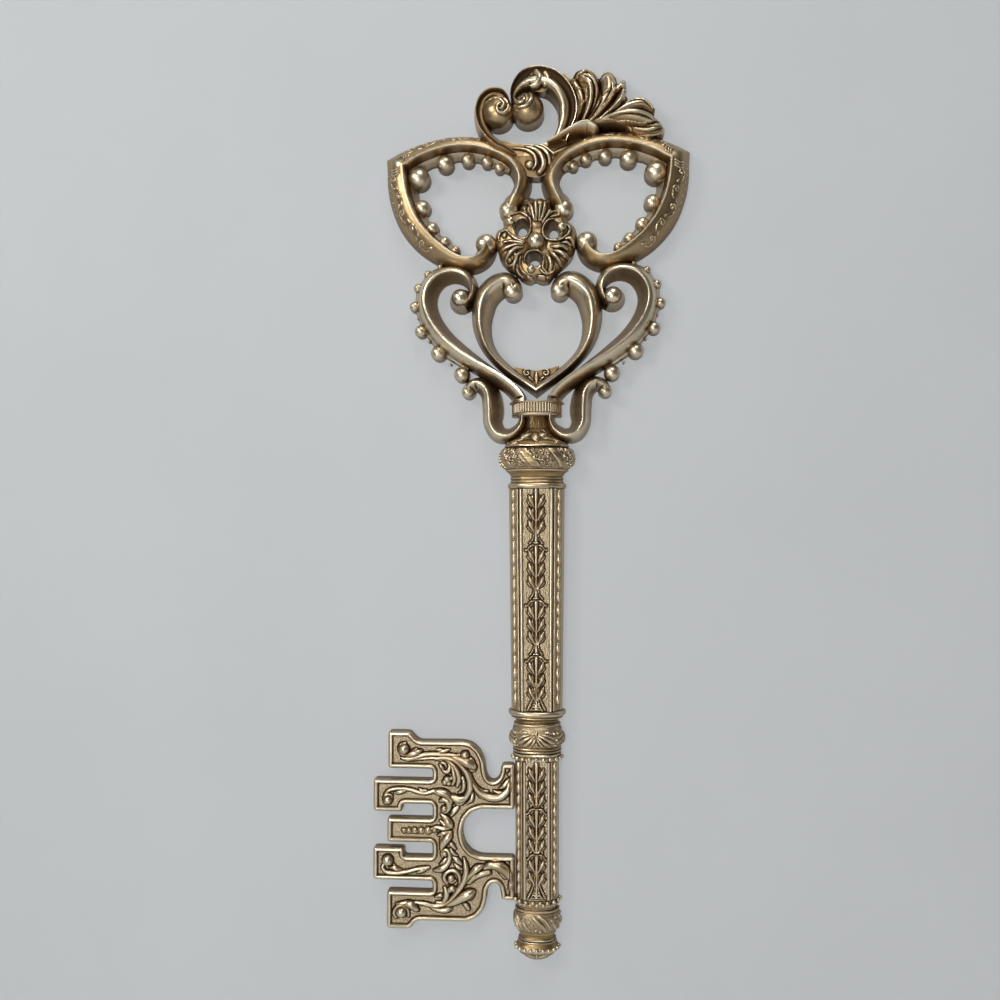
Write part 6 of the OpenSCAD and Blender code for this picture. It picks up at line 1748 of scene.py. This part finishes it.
class SizeSettings(bpy.types.PropertyGroup):
    """Depth of the carving and sizes of the reeds, husks and beads"""
    carving: FloatProperty(name="Carving", description="Depth of the carving, as a share of the real one",
                           default=1.0, min=0, max=1.5, subtype="FACTOR")
    reed_pitch: FloatProperty(name="Reed pitch", description="From one reed of the strap to the next",
                              default=0.0024, min=0.001, max=0.01, precision=5, unit="LENGTH")
    reed_radius: FloatProperty(name="Reed radius", description="Radius of a reed of the strap",
                               default=0.00128, min=0.0005, max=0.003, precision=5, unit="LENGTH")
    reed_height: FloatProperty(name="Reed height", description="Height of a reed of the strap",
                               default=0.0078, min=0.002, max=0.009, precision=5, unit="LENGTH")
    husk_radius: FloatProperty(name="Husk radius", description="Radius of a long husk of the side strips",
                               default=0.00185, min=0.0005, max=0.003, precision=5, unit="LENGTH")
    husk_bead: FloatProperty(name="Husk bead", description="Radius of the bead between two husks",
                             default=0.0008, min=0.0002, max=0.002, precision=5, unit="LENGTH")
    ring_beads: FloatProperty(name="Ring beads", description="Size of the beads of the rings, as a share",
                              default=1.0, min=0.5, max=1.3, subtype="FACTOR")


class FinishSettings(bpy.types.PropertyGroup):
    """Colours of the gold paint"""
    # Hollows: umber patina together with painted shade in the hollows
    deep: FloatVectorProperty(name="Hollows", description="Umber left in the hollows of the gold",
                              default=(0.050, 0.028, 0.013), subtype="COLOR", min=0, max=1)
    body: FloatVectorProperty(name="Body", description="Colour of the plain gold surfaces",
                              default=(0.462, 0.315, 0.150), subtype="COLOR", min=0, max=1)
    # Crests: paled by rubbing together with painted highlight
    crest: FloatVectorProperty(name="Crests", description="Colour of the worn crests",
                               default=(0.850, 0.745, 0.550), subtype="COLOR", min=0, max=1)
    roughness: FloatProperty(name="Roughness", description="How satin the gold is",
                             default=0.35, min=0.1, max=0.8, subtype="FACTOR")
    grain: FloatProperty(name="Grain", description="Strength of the fine bump of the gold",
                         default=0.3, min=0, max=1, subtype="FACTOR")
    stipple: FloatProperty(name="Stipple", description="How fine the pits of the stippled grounds are",
                           default=760, min=100, max=3000)


class StageSettings(bpy.types.PropertyGroup):
    """Board, lamps and camera"""
    board: FloatVectorProperty(name="Board", description="Colour of the pale board behind the key",
                               default=(0.585, 0.606, 0.618), subtype="COLOR", min=0, max=1)
    key_power: FloatProperty(name="Side lamp", description="Power of the soft lamp above and to the left",
                             default=6.1, min=0, max=500, unit="POWER")
    top_power: FloatProperty(name="Top lamp", description="Power of the lamp overhead",
                             default=6.0, min=0, max=500, unit="POWER")
    front_power: FloatProperty(name="Front lamp", description="Power of the wide lamp behind the camera",
                               default=0.9, min=0, max=500, unit="POWER")
    shaft_power: FloatProperty(name="Shaft lamp", description="Power of the wide lamp in front of the shaft",
                               default=5.9, min=0, max=500, unit="POWER")
    fill_power: FloatProperty(name="Low lamp", description="Power of the warm lamp below and to the right",
                              default=1.2, min=0, max=500, unit="POWER")
    sky: FloatProperty(name="Room light", description="Strength of the even light of the room",
                       default=0.05, min=0, max=5)
    lens: FloatProperty(name="Lens", description="Focal length of the camera", default=34.92, min=10, max=200,
                        unit="CAMERA")


def board_material(colour):
    """Matte pale card, seen from its front only, that keeps part of its colour in shade"""
    mat, tree = new_material("pale card")
    tree.nodes.clear()
    out = node(tree, "ShaderNodeOutputMaterial", 900)
    card = node(tree, "ShaderNodeBsdfPrincipled", 0)
    card.inputs["Roughness"].default_value = 0.8
    card.inputs["Specular IOR Level"].default_value = 0.2
    cloud = ramp(tree, noise(tree, 5.0), [(0.3, tuple(c * 0.97 for c in colour)), (0.7, colour)])
    tree.links.new(cloud, card.inputs["Base Color"])
    own = node(tree, "ShaderNodeEmission", 0, 300)
    tree.links.new(cloud, own.inputs["Color"])
    path = node(tree, "ShaderNodeLightPath", -300, 500)
    seen = math_node(tree, "MAXIMUM", path.outputs["Is Camera Ray"], path.outputs["Is Glossy Ray"])
    seen = math_node(tree, "MAXIMUM", seen, path.outputs["Is Transmission Ray"])
    share = node(tree, "ShaderNodeMixShader", 300)
    tree.links.new(math_node(tree, "MULTIPLY", seen, OWN_LIGHT), share.inputs[0])
    tree.links.new(card.outputs["BSDF"], share.inputs[1])
    tree.links.new(own.outputs["Emission"], share.inputs[2])
    clear = node(tree, "ShaderNodeBsdfTransparent", 300, -300)
    side = node(tree, "ShaderNodeNewGeometry", 300, 300)
    mix = node(tree, "ShaderNodeMixShader", 600)
    tree.links.new(side.outputs["Backfacing"], mix.inputs[0])
    tree.links.new(share.outputs["Shader"], mix.inputs[1])
    tree.links.new(clear.outputs["BSDF"], mix.inputs[2])
    tree.links.new(mix.outputs["Shader"], out.inputs["Surface"])
    return mat


def flat_panel(name, corners, mat):
    """Flat sheet of the stage"""
    me = bpy.data.meshes.new(name)
    me.from_pydata(corners, [], [(0, 1, 2, 3)])
    me.materials.append(mat)
    placed(name, me)


def lamp(name, power, place, aim, size, colour):
    """Round lamp that points at its aim"""
    light = bpy.data.lights.new(name, "AREA")
    light.shape = "DISK"
    light.size = size
    light.energy = power
    light.color = colour
    ob = placed(name, light)
    ob.location = place
    ob.rotation_euler = (Vector(aim) - Vector(place)).to_track_quat("-Z", "Y").to_euler()


class WALLKEY_OT_stage(bpy.types.Operator):
    """Sets up the pale board and floor, the lamps, the room light and the camera"""
    bl_idname = "wallkey.stage"
    bl_label = "Stage"

    def execute(self, context):
        scene = context.scene
        s = scene.wallkey_stage
        card = board_material(tuple(s.board))
        wide = ((-1.6, 0), (1.6, 0), (1.6, 1), (-1.6, 1))
        flat_panel("back_board", [(x, BOARD_Y, (FLOOR_Z, 1.1)[far]) for x, far in wide], card)
        flat_panel("floor", [(x, (-1.8, 0.9)[far], FLOOR_Z) for x, far in wide], card)
        for name, power, *rest in LAMPS:
            lamp(name, getattr(s, power), *rest)
        world = bpy.data.worlds.new("room")
        world.use_nodes = True
        background = world.node_tree.nodes["Background"]
        background.inputs["Color"].default_value = (0.93, 0.96, 1.0, 1)
        background.inputs["Strength"].default_value = s.sky
        scene.world = world
        cam = bpy.data.cameras.new("camera")
        cam.lens = s.lens
        cam.sensor_width = 36
        ob = placed("camera", cam)
        ob.location = CAMERA_PLACE
        ob.rotation_euler = (math.radians(CAMERA_TILT), 0, math.radians(CAMERA_PAN))
        scene.camera = ob
        scene.view_settings.view_transform = "Standard"
        return {"FINISHED"}


OPERATORS = (WALLKEY_OT_bow, WALLKEY_OT_beads, WALLKEY_OT_crest, WALLKEY_OT_rosette, WALLKEY_OT_neck,
             WALLKEY_OT_shafts, WALLKEY_OT_bit, WALLKEY_OT_fixings, WALLKEY_OT_stage)


class WALLKEY_PT_panel(bpy.types.Panel):
    """Sizes, colours, lamps and pieces of the wall key"""
    bl_label = "Wall key"
    bl_idname = "WALLKEY_PT_panel"
    bl_space_type = "VIEW_3D"
    bl_region_type = "UI"
    bl_category = "Wall Key"

    def draw(self, context):
        scene = context.scene
        for group in (scene.wallkey_sizes, scene.wallkey_finish, scene.wallkey_stage):
            box = self.layout.box()
            for key in group.__annotations__:
                box.prop(group, key)
        for operator in OPERATORS:
            self.layout.operator(operator.bl_idname)


CLASSES = (SizeSettings, FinishSettings, StageSettings) + OPERATORS + (WALLKEY_PT_panel,)


def register():
    for item in CLASSES:
        bpy.utils.register_class(item)
    bpy.types.Scene.wallkey_sizes = PointerProperty(type=SizeSettings)
    bpy.types.Scene.wallkey_finish = PointerProperty(type=FinishSettings)
    bpy.types.Scene.wallkey_stage = PointerProperty(type=StageSettings)


def unregister():
    del bpy.types.Scene.wallkey_stage
    del bpy.types.Scene.wallkey_finish
    del bpy.types.Scene.wallkey_sizes
    for item in reversed(CLASSES):
        bpy.utils.unregister_class(item)


def main():
    register()
    bpy.ops.wallkey.stage()
    bpy.ops.wallkey.bow()
    bpy.ops.wallkey.beads()
    bpy.ops.wallkey.crest()
    bpy.ops.wallkey.rosette()
    bpy.ops.wallkey.neck()
    bpy.ops.wallkey.shafts()
    bpy.ops.wallkey.bit()
    bpy.ops.wallkey.fixings()
    bpy.context.view_layer.update()


if __name__ == "__main__":
    main()
